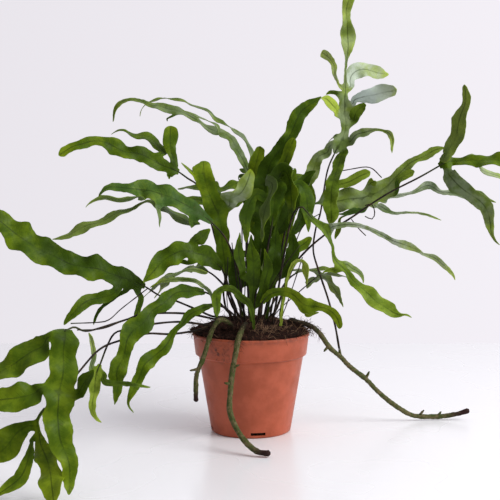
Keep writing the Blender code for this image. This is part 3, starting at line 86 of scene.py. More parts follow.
# %% Coat
class Coat:
    """A procedural material; each method adds a node and returns its output."""

    def __init__(self, name):
        self.material = bpy.data.materials.new(name)
        self.material.use_nodes = True
        self.tree = self.material.node_tree
        self.shader = self.tree.nodes["Principled BSDF"]
        self.place = self.tree.nodes.new("ShaderNodeTexCoord").outputs["Object"]

    def node(self, kind, inputs, **settings):
        made = self.tree.nodes.new(kind)
        for name, value in settings.items():
            setattr(made, name, value)
        for name, value in inputs.items():
            self.feed(made.inputs[name], value)
        return made

    def feed(self, socket, value):
        if isinstance(value, bpy.types.NodeSocket):
            self.tree.links.new(value, socket)
        elif socket.type == "RGBA":
            socket.default_value = (*value, 1)
        else:
            socket.default_value = value

    def attribute(self, name):
        return self.node("ShaderNodeAttribute", {}, attribute_name=name).outputs["Fac"]

    def noise(self, scale, detail=2, rough=0.5, place=None):
        inputs = {"Vector": place or self.place, "Scale": scale, "Detail": detail, "Roughness": rough}
        return self.node("ShaderNodeTexNoise", inputs).outputs["Fac"]

    def stretch(self, scales):
        inputs = {"Vector": self.place, "Scale": scales}
        return self.node("ShaderNodeMapping", inputs).outputs["Vector"]

    def maths(self, operation, first, second=0.0):
        return self.node("ShaderNodeMath", {0: first, 1: second}, operation=operation).outputs[0]

    def step(self, value, low, high, start=0.0, end=1.0):
        """A smooth step from start to end as the value goes from low to high."""
        inputs = {"Value": value, "From Min": low, "From Max": high, "To Min": start, "To Max": end}
        return self.node("ShaderNodeMapRange", inputs, interpolation_type="SMOOTHSTEP").outputs["Result"]

    def mix(self, share, first, second):
        inputs = {0: share, 6: first, 7: second}
        return self.node("ShaderNodeMix", inputs, data_type="RGBA").outputs[2]

    def bump(self, height, strength, distance):
        inputs = {"Height": height, "Strength": strength, "Distance": distance}
        return self.node("ShaderNodeBump", inputs).outputs["Normal"]

    def finish(self, **inputs):
        for name, value in inputs.items():
            self.feed(self.shader.inputs[name.replace("_", " ").title().replace("Ior", "IOR")], value)
        return self.material


print("a coat can add:", ", ".join(tool for tool in vars(Coat) if not tool.startswith("_")))

# %% [markdown]
# ## Curves that carry the plant
#
# A stalk, a midrib and a creeping stem are all one kind of thing: a smooth curve through a few given
# points.
# A curve with handles could be drawn, but the handles would have to be guessed. The cubic curve used here
# has
# none: it passes through its points, so it keeps what was measured.

# %% Smooth lines and frames
FINE_STEPS = 16
ROW_STEP = 9.5


def smooth_line(knots):
    """Fine points on a cubic curve that passes through the knots, and the run to each."""
    knots = np.array(knots, float)
    ends = np.vstack([2 * knots[0] - knots[1], knots, 2 * knots[-1] - knots[-2]])
    fine = []
    for a, b, c, d in zip(ends, ends[1:], ends[2:], ends[3:]):
        for t in np.linspace(0, 1, FINE_STEPS, endpoint=False):
            cubic = (3 * b - a - 3 * c + d) * t ** 3
            square = (2 * a - 5 * b + 4 * c - d) * t ** 2
            fine.append((2 * b + (c - a) * t + square + cubic) / 2)
    fine = np.array(fine + [knots[-1]])
    steps = np.linalg.norm(np.diff(fine[:, :3], axis=0), axis=1)
    return fine, np.concatenate([[0], np.cumsum(steps)])


def even_stops(start, end, step):
    return np.linspace(start, end, max(3, round((end - start) / step) + 1))


def tip_stops(start, run):
    """Even stops to the tip. The last but one is no earlier than the knot where a blunt tip closes."""
    stops = even_stops(start, run[-1], ROW_STEP)
    stops[-2] = max(stops[-2], run[-1 - FINE_STEPS])
    return stops


def halved(stops):
    """The stops with one more in the middle of each stretch."""
    count = len(stops)
    return np.interp(np.arange(0, count - 0.5, 0.5), np.arange(count), stops)


def stations(line, run, stops):
    return np.column_stack([np.interp(stops, run, column) for column in line.T])


test_corner = ((0, 0, 0), (30, 0, 0), (30, 40, 0))
print("a smooth corner of 30 and 40 mm runs", round(smooth_line(test_corner)[1][-1], 1), "mm")

# %% [markdown]
# ### Which way a place faces
#
# A ring or a row of a blade is set square to its curve, so each place needs a tangent and a normal. The
# normal could be worked out anew at each place from a fixed direction, but it would flip where the curve
# runs that way. It is carried along instead, and only straightened at each step.

# %% Frames
def frames(places, face):
    """Tangents, and normals that start at a face and are carried along without a twist."""
    tangents = np.gradient(places, axis=0)
    tangents /= np.linalg.norm(tangents, axis=1)[:, None]
    normal = np.array(face, float)
    normals = []
    for tangent in tangents:
        normal = normal - normal.dot(tangent) * tangent
        normal = normal / np.linalg.norm(normal)
        normals.append(normal)
    return tangents, np.array(normals)


start_frame = [ways[0].round(2).tolist() for ways in frames(np.array(test_corner), (0, 0, 1))]
print("tangent and normal at the corner's start:", start_frame)

# %% [markdown]
# ## Tubes
#
# Stalks, creeping stems, buds and dry fibres are round and tapering. A curve with a bevel would do, but its
# rings can't be made knobbly. So a tube starts as a circle from an operator, and its ring is extruded from
# place to place and moved by a matrix each time. A float attribute keeps how far along the stem a ring is.

# %% Grow a tube
FACE_UP = (0.0, -0.3, 0.95)


def ring_matrix(spot, tangent, normal, radius):
    turn = Matrix((normal, np.cross(tangent, normal), tangent)).transposed().to_4x4()
    return Matrix.Translation(spot) @ turn @ Matrix.Scale(radius, 4)


def grow_tube(bm, places, radii, sides):
    """A closed tube along the places; its corners know their share of the length."""
    layer = bm.verts.layers.float.get("share") or bm.verts.layers.float.new("share")
    tangents, normals = frames(places, FACE_UP)
    rings = [ring_matrix(*parts) for parts in zip(places, tangents, normals, radii)]
    fresh = bmesh.ops.create_circle(bm, cap_ends=True, segments=sides, radius=1, matrix=rings[0])["verts"]
    edges = list(fresh[0].link_faces[0].edges)
    for number in range(1, len(rings)):
        grown = bmesh.ops.extrude_edge_only(bm, edges=edges)["geom"]
        fresh = [item for item in grown if isinstance(item, bmesh.types.BMVert)]
        inside = set(fresh)
        edges = [item for item in grown
                 if isinstance(item, bmesh.types.BMEdge) and set(item.verts) <= inside]
        bmesh.ops.transform(bm, matrix=rings[number] @ rings[number - 1].inverted(), verts=fresh)
        for corner in fresh:
            corner[layer] = number / (len(rings) - 1)
    bmesh.ops.edgeloop_fill(bm, edges=edges)


test_tube = bmesh.new()
grow_tube(test_tube, np.array(test_corner, float), (1, 1, 1), 6)
print("a tube of six sides and three rings has", len(test_tube.faces), "faces")
test_tube.free()

# %% [markdown]
# ### From a mesh to a piece
#
# The points were read in millimetres, so a piece is modelled in millimetres and turned to metres at the
# end. Its object stays at the origin, unturned and unscaled, as the solid's does that it stands for. A live
# modifier could stay on it, but then its mesh couldn't be worked on any further, so modifiers are applied.

# %% Pieces
def to_object(name, bm, *materials):
    """An object in metres from a mesh in millimetres."""
    bmesh.ops.scale(bm, vec=(MM, MM, MM), verts=bm.verts)
    mesh = bpy.data.meshes.new(name)
    bm.to_mesh(mesh)
    bm.free()
    for material in materials:
        mesh.materials.append(material)
    made = bpy.data.objects.new(name, mesh)
    bpy.context.scene.collection.objects.link(made)
    return made


def to_piece(name, bm, *materials):
    """A piece of the plant, shaded smooth."""
    piece = to_object(name, bm, *materials)
    piece.data.shade_smooth()
    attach(piece, "root")
    return piece


def evaluated(piece):
    """The piece's mesh with its modifiers applied."""
    depsgraph = bpy.context.evaluated_depsgraph_get()
    mesh = bpy.data.meshes.new_from_object(piece.evaluated_get(depsgraph))
    piece.modifiers.clear()
    piece.data = mesh
    return mesh


print("a piece keeps a scale of 1; its mesh is scaled by", MM)

# %% [markdown]
# ## The pot
#
# The pot is a thin moulded plastic cup: a tapered body, a step out to a tall collar, and a round bead at
# the lip. It could be stacked from cones, but their seams would show. Half a profile is written instead,
# with the wall in it, so the inside is real. Rim and height come from the solid.

# %% Profile of the pot
pot_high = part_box("pot")[1] / MM
POT_HEIGHT = pot_high.z
RIM_RADIUS = pot_high.x
RIM_BEAD = 2.4
RIM_ROUND = 0.8
COLLAR_HEIGHT = 22.0
COLLAR_STEP = 3.0
NECK = 2.0
FOOT_RADIUS = 41.0
FOOT_BEVEL = 1.5
FOOT_RIM = 5.0
FOOT_RISE = 1.0
WALL = 1.8
FLOOR = 2.4
POT_SIDES = 128
SHARP = math.radians(18)
EDGE_ROUND = 0.35


def body_radius(height):
    top = RIM_RADIUS - COLLAR_STEP * 2
    return FOOT_RADIUS + (top - FOOT_RADIUS) * height / (POT_HEIGHT - COLLAR_HEIGHT)


def pot_profile():
    """Foot with its raised middle, body, neck, collar and bead outside, then the wall inside."""
    collar = POT_HEIGHT - COLLAR_HEIGHT
    neck = collar - NECK
    bead = POT_HEIGHT - RIM_BEAD
    return [
        (0, FOOT_RISE), (FOOT_RADIUS - FOOT_RIM - FOOT_RISE, FOOT_RISE), (FOOT_RADIUS - FOOT_RIM, 0),
        (FOOT_RADIUS - FOOT_BEVEL, 0), (FOOT_RADIUS, FOOT_BEVEL), (body_radius(neck), neck),
        (RIM_RADIUS - COLLAR_STEP, collar), (RIM_RADIUS - RIM_ROUND, bead - RIM_ROUND), (RIM_RADIUS, bead),
        (RIM_RADIUS, POT_HEIGHT - RIM_ROUND), (RIM_RADIUS - RIM_ROUND, POT_HEIGHT),
        (RIM_RADIUS - RIM_ROUND - WALL, POT_HEIGHT), (RIM_RADIUS - COLLAR_STEP - WALL, collar + NECK / 2),
        (body_radius(neck) - WALL, neck - NECK / 2), (body_radius(FLOOR) - WALL, FLOOR), (0, FLOOR),
    ]


print("pot: rim", round(RIM_RADIUS * 2), "mm across,", round(POT_HEIGHT), "mm high")

# %% [markdown]
# ### Turned and rounded
#
# One spin of the profile makes the pot true all round. Its sharp rings are then bevelled, because moulded
# plastic has no knife edges and the round ones catch the light. A Bevel modifier would do the same, but the
# slots have to be cut into the finished shape.

# %% Turn the pot
def turned(profile, sides):
    """A closed mesh turned about Z from radius and height pairs that start and end on the axis."""
    bm = bmesh.new()
    corners = [bm.verts.new((radius, 0, height)) for radius, height in profile]
    edges = [bm.edges.new(pair) for pair in zip(corners, corners[1:])]
    bmesh.ops.spin(bm, geom=corners + edges, cent=(0, 0, 0), axis=(0, 0, 1),
                   angle=math.tau, steps=sides, use_merge=True)
    bmesh.ops.remove_doubles(bm, verts=bm.verts, dist=0.01)
    bmesh.ops.recalc_face_normals(bm, faces=bm.faces)
    return bm


pot_mesh = turned(pot_profile(), POT_SIDES)
sharp_rings = [edge for edge in pot_mesh.edges if edge.calc_face_angle(0) > SHARP]
bmesh.ops.bevel(pot_mesh, geom=sharp_rings, affect="EDGES", offset=EDGE_ROUND, segments=3, profile=0.5,
                material=-1)
print("bevelled rings:", len(sharp_rings) // POT_SIDES)

# %% [markdown]
# ### Drain slots
#
# Four slots let water out where the wall meets the foot. Faces could be deleted and the gap bridged, but
# the slots cross the bevelled foot. A Boolean cuts them cleanly, because the cutter's cubes touch nothing
# else.

# %% Slots
SLOT_COUNT = 4
SLOT_SIZE = (12.0, 15.0, 3.0)
SLOT_HEIGHT = 4.6
SLOT_TURN = math.radians(-80)
SHARP_EDGE = math.radians(35)


def cut_slots(pot):
    slots = bmesh.new()
    for number in range(SLOT_COUNT):
        turn = Matrix.Rotation(SLOT_TURN + math.tau * number / SLOT_COUNT, 4, "Z")
        middle = Matrix.Translation((body_radius(SLOT_HEIGHT), 0, SLOT_HEIGHT))
        size = Matrix.Diagonal((*SLOT_SIZE, 1))
        bmesh.ops.create_cube(slots, size=1, matrix=turn @ middle @ size)
    cutter = to_object("slot_cutter", slots)
    cutter.data.shade_smooth()
    cut = pot.modifiers.new("slots", "BOOLEAN")
    cut.object = cutter
    evaluated(pot)
    bpy.data.objects.remove(cutter)
    pot.data.set_sharp_from_angle(angle=SHARP_EDGE)


print("drain slots:", SLOT_COUNT, "each", SLOT_SIZE, "mm before they are cut")

# %% [markdown]
# ### Satin plastic
#
# Terracotta coloured plastic is even, but a used pot isn't: the colour is a little mottled, fine rings from
# the mould run round it, the collar has smudges of potting mix, and dust dulls the gloss in patches. One
# flat colour would look like a toy, so four noises of different sizes each do one of these things.

# %% Pot finish
TERRACOTTA = (0.47, 0.103, 0.048)
TERRACOTTA_DEEP = (0.36, 0.074, 0.030)
SMUDGE = (0.085, 0.034, 0.022)
SMUDGE_SPOT = (-0.030, -0.050, 0.087)
SMUDGE_REACH = (0.003, 0.016)
RIM_DIRT = (0.094, 0.1015)
MOULD_RINGS = (20, 20, 900)
# Noises are given as scale, detail and roughness.
MOTTLE = (45, 4, 0.6)
GRIME = (210, 5, 0.7)
DUST = (120, 4, 0.65)
PLASTIC_ROUGH = (0.36, 0.55)


def pot_coat():
    coat = Coat("satin_terracotta_plastic")
    colour = coat.mix(coat.step(coat.noise(*MOTTLE), 0.35, 0.7), TERRACOTTA_DEEP, TERRACOTTA)
    offset = coat.node("ShaderNodeVectorMath", {0: coat.place, 1: SMUDGE_SPOT}, operation="DISTANCE")
    near = coat.step(offset.outputs["Value"], *SMUDGE_REACH, 1, 0)
    rim = coat.step(coat.node("ShaderNodeSeparateXYZ", {0: coat.place}).outputs["Z"], *RIM_DIRT)
    dirt = coat.maths("MAXIMUM", coat.maths("MULTIPLY", near, 1.3), coat.maths("MULTIPLY", rim, 0.55))
    grime = coat.maths("MULTIPLY", dirt, coat.step(coat.noise(*GRIME), 0.42, 0.68))
    colour = coat.mix(grime, colour, SMUDGE)
    rings = coat.noise(1.0, 3, 0.6, coat.stretch(MOULD_RINGS))
    rough = coat.step(coat.noise(*DUST), 0.3, 0.75, *PLASTIC_ROUGH)
    height = coat.maths("ADD", rings, coat.maths("MULTIPLY", grime, 3))
    normal = coat.bump(height, 0.25, 0.0003)
    return coat.finish(base_color=colour, roughness=rough, normal=normal, specular_ior_level=0.3)


pot = to_piece("nursery_pot", pot_mesh, pot_coat())
cut_slots(pot)
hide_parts("pot")
print("pot faces:", len(pot.data.polygons))

# %% [markdown]
# ## Potting mix
#
# The mix is a root ball mounded over the rim, dark and damp, with a clump that spills over on the left. It
# is one spun body whose top has many rings. The rings are then lifted to a mound by a formula and roughened
# by fractal noise, because crumbs and matted roots have no pattern that a modelling tool could repeat.

# %% Soil
SOIL_CLEAR = 0.4
SOIL_CROWN = 12.0
SOIL_EDGE = 1.2
SOIL_LUMP = 1.3
LUMP_SIZE = 3.4
SOIL_RINGS = 34
SOIL_SIDES = 150
SPILL_REACH = 7.0
SPILL_TURN = math.radians(196)
SPILL_NARROW = 12
CRUMB = 1.5
CRUMB_SIZE = 4.2
CRUMB_FRACTAL = (0.9, 2.1, 4)
GAP = 0.3


def soil_height(x, y):
    """Height of the mounded, lumpy top."""
    reach = min(1.0, math.hypot(x, y) / (RIM_RADIUS - WALL))
    lumps = math.sin(x / LUMP_SIZE + 1) * math.cos(y / LUMP_SIZE) + math.sin((x - y) / LUMP_SIZE * 2) / 2
    return POT_HEIGHT + SOIL_EDGE + SOIL_CROWN * (1 - reach ** 3) + SOIL_LUMP * lumps * (1 - reach ** 4)


def soil_profile():
    edge = RIM_RADIUS - RIM_ROUND - WALL - SOIL_CLEAR
    wall = [(radius - SOIL_CLEAR, height) for radius, height in pot_profile()[-4:-1]]
    wall[2] = (wall[2][0], FLOOR + GAP)
    wall.reverse()
    shares = np.linspace(1, 0, SOIL_RINGS)[:-1]
    rings = [(edge * share, POT_HEIGHT + SOIL_EDGE) for share in shares]
    return [(0, FLOOR + GAP), *wall, (edge, POT_HEIGHT - SOIL_EDGE), *rings, (0, POT_HEIGHT + SOIL_EDGE)]


def make_soil():
    bm = turned(soil_profile(), SOIL_SIDES)
    edge = RIM_RADIUS - RIM_ROUND - WALL - SOIL_CLEAR
    for corner in bm.verts:
        x, y, z = corner.co
        if z > POT_HEIGHT:
            spill = max(0.0, math.cos(math.atan2(y, x) - SPILL_TURN)) ** SPILL_NARROW
            outer = max(0.0, math.hypot(x, y) / edge * 4 - 3)
            grown = 1 + spill * outer * SPILL_REACH / edge
            lift = 2 * SOIL_EDGE * spill * outer
            corner.co = (x * grown, y * grown, soil_height(x, y) + lift)
            crumbs = noise.fractal(corner.co / CRUMB_SIZE, *CRUMB_FRACTAL)
            corner.co.z += CRUMB * crumbs * min(1.0, (z - POT_HEIGHT) * 2)
    return bm


print("the mix stands", round(soil_height(0, 0) - POT_HEIGHT), "mm over the rim")

# %% [markdown]
# ### Damp brown mix
#
# Damp peat is almost black and warm brown on its dry crumbs. One noise makes the crumbs, a stretched one
# makes the reddish shreds of bark, and both also drive the bump, so the low spots are darkest: painted
# shade in the hollows as well as the dark of damp peat. Real crumbs as loose bodies would cost far more
# faces and look no different from this near.

# %% Soil finish
PEAT = (0.007, 0.004, 0.003)
PEAT_DRY = (0.085, 0.036, 0.024)
BARK_SHRED = (0.200, 0.070, 0.038)
CRUMB_GRAIN = (300, 6, 0.75)
SHRED_STRETCH = (300, 900, 600)
SHRED_GRAIN = (1.0, 4, 0.7)
SOIL_BUMP = 0.0022


def soil_coat():
    coat = Coat("damp_potting_mix")
    crumbs = coat.noise(*CRUMB_GRAIN)
    shreds = coat.noise(*SHRED_GRAIN, coat.stretch(SHRED_STRETCH))
    # The crumb noise darkens where the bump is low: painted shade in the hollows, along with the peat's own
    # dark.
    colour = coat.mix(coat.step(crumbs, 0.4, 0.72), PEAT, PEAT_DRY)
    colour = coat.mix(coat.step(shreds, 0.62, 0.74), colour, BARK_SHRED)
    height = coat.maths("ADD", crumbs, shreds)
    normal = coat.bump(height, 1.0, SOIL_BUMP)
    return coat.finish(base_color=colour, roughness=0.95, normal=normal, specular_ior_level=0.1)


soil = to_piece("potting_mix", make_soil(), soil_coat())
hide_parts("soil")
print("soil faces:", len(soil.data.polygons))

# %% [markdown]
# ### Roots and dry fibres
#
# Fine roots and dead fibres stand out of the mix all over, thicker at the left spill and in a hairy mass at
# the right of the rim. Hair particles would be quick, but they leave no mesh behind. Each fibre is a
# three-sided tube of a few rings instead. It starts inside the mix, so that none hangs in the air, and the
# draws are seeded, so that every run grows the same ones.

# %% Fibres
FIBRE_SEED = 11
FIBRE_RINGS = 5
FIBRE_RADIUS = (0.16, 0.34)
FIBRE_LENGTH = (6.0, 17.0)
FIBRE_SUNK = 1.5
FIBRE_SCATTER = 0.5
FIBRE_CURL = 0.45
FIBRE_CLEAR = 2
FIBRE_RISE = 0.6
FIBRE_END = 0.4
FIBRE_DROOP = np.array([0, 0, -0.22])
DARK_FIBRE = ((0.010, 0.006, 0.005), (0.070, 0.028, 0.016))
TAN_FIBRE = ((0.16, 0.085, 0.045), (0.34, 0.22, 0.13))


def fibre_coat(name, colours):
    coat = Coat(name)
    colour = coat.mix(coat.noise(160, 2), *colours)
    return coat.finish(base_color=colour, roughness=0.85, specular_ior_level=0.15)


def random_fibre(draw, middle, spread, outward):
    """A curly fibre near a middle angle and radius, leaning outward by a share."""
    turn = draw.gauss(middle[0], spread[0])
    radius = min(abs(draw.gauss(middle[1], spread[1])), RIM_RADIUS - WALL - FIBRE_CLEAR)
    x, y = radius * math.cos(turn), radius * math.sin(turn)
    heading = np.array([math.cos(turn) * outward, math.sin(turn) * outward, 1 - outward])
    heading += [draw.gauss(0, FIBRE_SCATTER) for _ in range(3)]
    heading[2] = abs(heading[2]) * FIBRE_RISE
    length = draw.uniform(*FIBRE_LENGTH)
    spot = np.array([x, y, soil_height(x, y) - FIBRE_SUNK])
    spots = [spot]
    for _ in range(FIBRE_RINGS - 1):
        heading = heading / np.linalg.norm(heading)
        spot = spot + heading * length / (FIBRE_RINGS - 1)
        spots.append(spot)
        heading = heading + [draw.gauss(0, FIBRE_CURL) for _ in range(3)] + FIBRE_DROOP
    return spots, draw.uniform(*FIBRE_RADIUS)


print("fibre colours:", DARK_FIBRE[0], "to", TAN_FIBRE[1])

# %% [markdown]
# ### Where the fibres grow
#
# The mix isn't equally hairy everywhere, so the fibres are drawn in groups: all round, at the spill, at the
# right of the rim and at the front. Dark roots and tan dead fibres are two pieces, because a noise alone
# would blend the two colours along every fibre.

# %% Grow the fibres
def make_fibres(name, colours, draw, groups):
    """groups: how many, the middle (angle, radius), the spread of both, and the lean outward."""
    bm = bmesh.new()
    for count, middle, spread, outward in groups:
        for _ in range(count):
            spots, radius = random_fibre(draw, middle, spread, outward)
            grow_tube(bm, spots, np.linspace(radius, radius * FIBRE_END, len(spots)), 3)
    piece = to_piece(name, bm, fibre_coat(name, colours))
    print(name, "faces:", len(piece.data.polygons))


fibre_draw = random.Random(FIBRE_SEED)
ALL_ROUND = ((0, 30), (6.0, 18))
SPILL = ((SPILL_TURN, 54), (0.25, 4))
RIGHT_RIM = ((math.radians(-20), 50), (0.35, 6))
FRONT_RIGHT = ((math.radians(-75), 44), (0.3, 7))
FRONT_LEFT = ((math.radians(238), 47), (0.3, 6))
make_fibres("dark_fibres", DARK_FIBRE, fibre_draw,
            ((260, *ALL_ROUND, 0.3), (110, *SPILL, 0.8), (170, *RIGHT_RIM, 0.6), (110, *FRONT_LEFT, 0.4)))
make_fibres("tan_fibres", TAN_FIBRE, fibre_draw,
            ((60, *ALL_ROUND, 0.2), (20, *SPILL, 0.8), (40, *RIGHT_RIM, 0.5), (90, *FRONT_RIGHT, 0.2)))

# %% [markdown]
# ## Creeping stems
#
# The fern spreads by creeping stems, thinner than a pencil. Three of them spill over the rim, and the right
# one arches to the table and lies there. They are green and brown, knobbly, and set with blunt buds and
# papery scales. Their runs are written as points, because no formula gives the way they sag.

# %% Data of the creeping stems
# Name, foot in the soil, points of the run, and buds as a base, a tip and a radius. The peg starts on the
# right stem and points to a spot above it.
RHIZOMES = (
    ("rhizome_front", (-5, -40),
     ((-7, -47, 115), (-10, -57, 110), (-13, -64, 102), (-15, -67, 91), (-18, -70, 74), (-20, -76, 55),
      (-20, -84, 36), (-11, -96, 19), (-1, -105, 9), (8, -110, 4.5), (18, -112, 4)),
     (((-19, -74, 62), (-26, -76, 64), 1.6), ((-17, -70, 78), (-11, -73, 81), 1.4))),
    ("rhizome_left", (-19, -41),
     ((-24, -45, 119), (-31, -49, 121), (-38, -52, 112), (-42, -54, 100), (-47, -56, 84), (-53, -58, 70),
      (-54, -59, 56), (-54, -60, 42)),
     (((-51, -58, 74), (-60, -60, 73), 1.5),)),
    ("rhizome_right", (40, -7),
     ((47, -8, 113), (59, -8, 110), (70, -2, 101), (81, 4, 85), (93, 10, 74), (104, 15, 62),
      (120, 20, 49), (134, 26, 34), (150, 31, 20), (168, 36, 8), (180, 39, 4.5), (197, 41, 4),
      (206, 41, 4.5), (220, 40, 7), (233, 40, 11)),
     (((80, 3, 87), (75, 1, 81), 1.5), ((120, 20, 49), (124, 19, 57), 1.6),
      ((199, 41, 4), (203, 39, 10), 1.5), ((180, 39, 6), (184, 36, 12), 1.4))),
)
PEG_ROOT = (93, 10, 74)
PEG_AIM = (88, 14, 103)
print("creeping stems:", len(RHIZOMES), "buds:", sum(len(buds) for *_, buds in RHIZOMES))

# %% [markdown]
# ### Run and thickness
#
# A stem leaves the mix straight, from a hole that is deeper than it needs, and each stem has its own
# thickness. Its rings swell and shrink a little, and the last ones swell once more and close bluntly, as if
# snapped off. An even tube would look like wire.

# %% Run and thickness of a stem
HOLE_DEPTH = 12.0
STALK_RISE = 3.0
STEM_RADII = {"rhizome_front": 2.75, "rhizome_left": 2.35, "rhizome_right": 2.5}
RHIZOME_RING = 1.8
RHIZOME_SIDES = 18
KNOBS = 0.06
KNOB_TURN = 31
FINE_KNOBS = 0.03
FINE_KNOB_TURN = 97
TIP_SHARE = 0.012
TIP_SWELL = 0.16
TIP_CLOSED = 0.2


def foot_points(foot):
    """A stem's straight start, from inside the mix to clear of it."""
    x, y = foot
    surface = soil_height(x, y)
    return [np.array([x, y, surface - HOLE_DEPTH + GAP]), np.array([x, y, surface + STALK_RISE])]


def rhizome_radii(share, radius):
    """Knobbly radii, with a swollen end that looks snapped off."""
    knobs = 1 + KNOBS * np.sin(share * KNOB_TURN) + FINE_KNOBS * np.sin(share * FINE_KNOB_TURN)
    swell = TIP_SWELL * ((share - 1) / TIP_SHARE / 4 + 1).clip(0)
    past = ((share - 1) / TIP_SHARE + 1).clip(0)
    return radius * (knobs + swell) * np.sqrt((1 - past ** 4).clip(TIP_CLOSED))


def rhizome_line(foot, knots):
    line, run = smooth_line([*foot_points(foot), *knots])
    return stations(line, run, even_stops(0, run[-1], RHIZOME_RING))


for name, foot, knots, _ in RHIZOMES:
    print(name, "is", round(len(rhizome_line(foot, knots)) * RHIZOME_RING), "mm long")

# %% [markdown]
# ### Stem bodies
#
# A tube with eighteen sides follows the points, and its corners are moved along their normals by noise, so
# the bark is uneven in the mesh and not only in its shading. Buds are short tubes that start inside the
# stem. The peg is a longer bud that stays broad at its top, where the tallest frond's stalk stands on it.

# %% Stem, buds and peg
BARK_ROUGH = 0.42
BARK_GRAIN = 2.6
BARK_FRACTAL = (0.8, 2.0, 3)
BUD_SIDES = 10
BUD_SWELL = (1.15, 1.0, 0.92, 0.85, 0.72, 0.3)
PEG_SWELL = (1.15, 1.0, 0.92, 0.85, 0.8, 0.72)
PEG_LENGTH = 8.0
PEG_RADIUS = 1.7


def roughen(bm, amount, size):
    """Move every corner along its normal by noise."""
    bm.normal_update()
    moves = [corner.normal * amount * noise.fractal(corner.co / size, *BARK_FRACTAL)
             for corner in bm.verts]
    for corner, move in zip(bm.verts, moves):
        corner.co += move


def grow_bud(bm, base, tip, radius, swell=BUD_SWELL):
    places = [np.array(base) + (np.array(tip) - base) * share for share in np.linspace(0, 1, len(swell))]
    grow_tube(bm, places, radius * np.array(swell), BUD_SIDES)


def peg_ends():
    root = np.array(PEG_ROOT, float)
    aim = np.array(PEG_AIM) - root
    return root, root + aim / np.linalg.norm(aim) * PEG_LENGTH


def make_rhizome(name, foot, knots, buds):
    bm = bmesh.new()
    places = rhizome_line(foot, knots)
    radii = rhizome_radii(np.linspace(0, 1, len(places)), STEM_RADII[name])
    grow_tube(bm, places, radii, RHIZOME_SIDES)
    for bud in buds:
        grow_bud(bm, *bud)
    roughen(bm, BARK_ROUGH, BARK_GRAIN)
    return bm, places


print("the peg ends at", peg_ends()[1].round(1).tolist(), "mm")

# %% [markdown]
# ### Papery scales
#
# Old stems wear small brown scales that lie flat and point forward. A bump could hint at them, but they
# also show against the light. Each is a cone of four sides, flattened and laid on the surface: a closed
# body of a few faces, so that hundreds cost little.

# %% Scales
SCALE_SEED = 5
SCALE_WIDTH = 0.75
SCALE_POINT = 0.08
SCALE_LENGTH = 2.6
SCALE_SIZES = (0.7, 1.2)
SCALE_FLAT = 0.3
SCALE_SPACING = 1.9
SCALE_LEAN = math.radians(14)
SCALE_LIFT = 1.02


def lay_scales(bm, places, radius, draw):
    """Scales along a stem, at random turns round it."""
    tangents, normals = frames(places, FACE_UP)
    count = int(len(places) * RHIZOME_RING / SCALE_SPACING)
    for _ in range(count):
        number = draw.randrange(2, len(places) - 4)
        turn = draw.uniform(0, math.tau)
        tangent = tangents[number]
        side = np.cross(tangent, normals[number])
        outward = math.cos(turn) * normals[number] + math.sin(turn) * side
        along = tangent * math.cos(SCALE_LEAN) + outward * math.sin(SCALE_LEAN)
        flat = outward * math.cos(SCALE_LEAN) - tangent * math.sin(SCALE_LEAN)
        spot = places[number] + outward * radius * SCALE_LIFT
        turn_matrix = Matrix((flat, np.cross(along, flat), along)).transposed().to_4x4()
        size = draw.uniform(*SCALE_SIZES)
        squeeze = Matrix.Diagonal((SCALE_FLAT * size, size, size, 1))
        bmesh.ops.create_cone(bm, cap_ends=True, segments=4, radius1=SCALE_WIDTH, radius2=SCALE_POINT,
                              depth=SCALE_LENGTH, matrix=Matrix.Translation(spot) @ turn_matrix @ squeeze)


print("one scale for every", SCALE_SPACING, "mm of a stem")

# %% [markdown]
# ### Rootlets
#
# Where a stem leaves the mix it is dark and hairy with rootlets. They grow as the fibres do, as thin
# three-sided tubes, but from the stem: they start inside it, stand out all round and bend down.

# %% Rootlets
ROOTLET_RINGS = (7, 34)
ROOTLETS = 150
ROOTLET_LENGTH = (3.0, 9.0)
ROOTLET_RADIUS = 0.24
ROOTLET_STEPS = 4
ROOTLET_SUNK = 0.7
ROOTLET_CURL = 0.4
ROOTLET_DROOP = np.array([0, 0, -0.35])


def lay_rootlets(bm, places, radius, draw):
    tangents, normals = frames(places, FACE_UP)
    for _ in range(ROOTLETS):
        number = int(draw.triangular(*ROOTLET_RINGS, ROOTLET_RINGS[0]))
        turn = draw.uniform(0, math.tau)
        side = np.cross(tangents[number], normals[number])
        heading = math.cos(turn) * normals[number] + math.sin(turn) * side
        spots = [places[number] + heading * radius * ROOTLET_SUNK]
        for _ in range(ROOTLET_STEPS - 1):
            heading = heading + [draw.gauss(0, ROOTLET_CURL) for _ in range(3)] + ROOTLET_DROOP
            heading = heading / np.linalg.norm(heading)
            spots.append(spots[-1] + heading * draw.uniform(*ROOTLET_LENGTH) / (ROOTLET_STEPS - 1))
        grow_tube(bm, spots, np.linspace(ROOTLET_RADIUS, ROOTLET_RADIUS / 3, ROOTLET_STEPS), 3)


print("rootlets on each stem:", ROOTLETS)

# %% [markdown]
# ### Green and brown bark
#
# Bark is green where the light reaches it and tan where it has dried, in small patches that one noise
# gives, with brown grains from a finer one. Near the mix it is almost black, and its tip is dark red-brown.
# Both ends are found by the share attribute, because Object coordinates don't know how far along a stem
# they are.

# %% Bark finish
STEM_GREEN = (0.050, 0.068, 0.014)
STEM_BROWN = (0.160, 0.125, 0.062)
STEM_TIP = (0.026, 0.010, 0.008)
SCALE_BROWN = (0.060, 0.034, 0.020)
ROOT_DARK = (0.012, 0.007, 0.006)
PATCH_GRAIN = (230, 5, 0.75)
BARK_NOISE = (900, 3, 0.7)
BARK_BUMP = 0.0004
ROOT_REACH = (0.12, 0.24)
TIP_REACH = (0.88, 0.965)


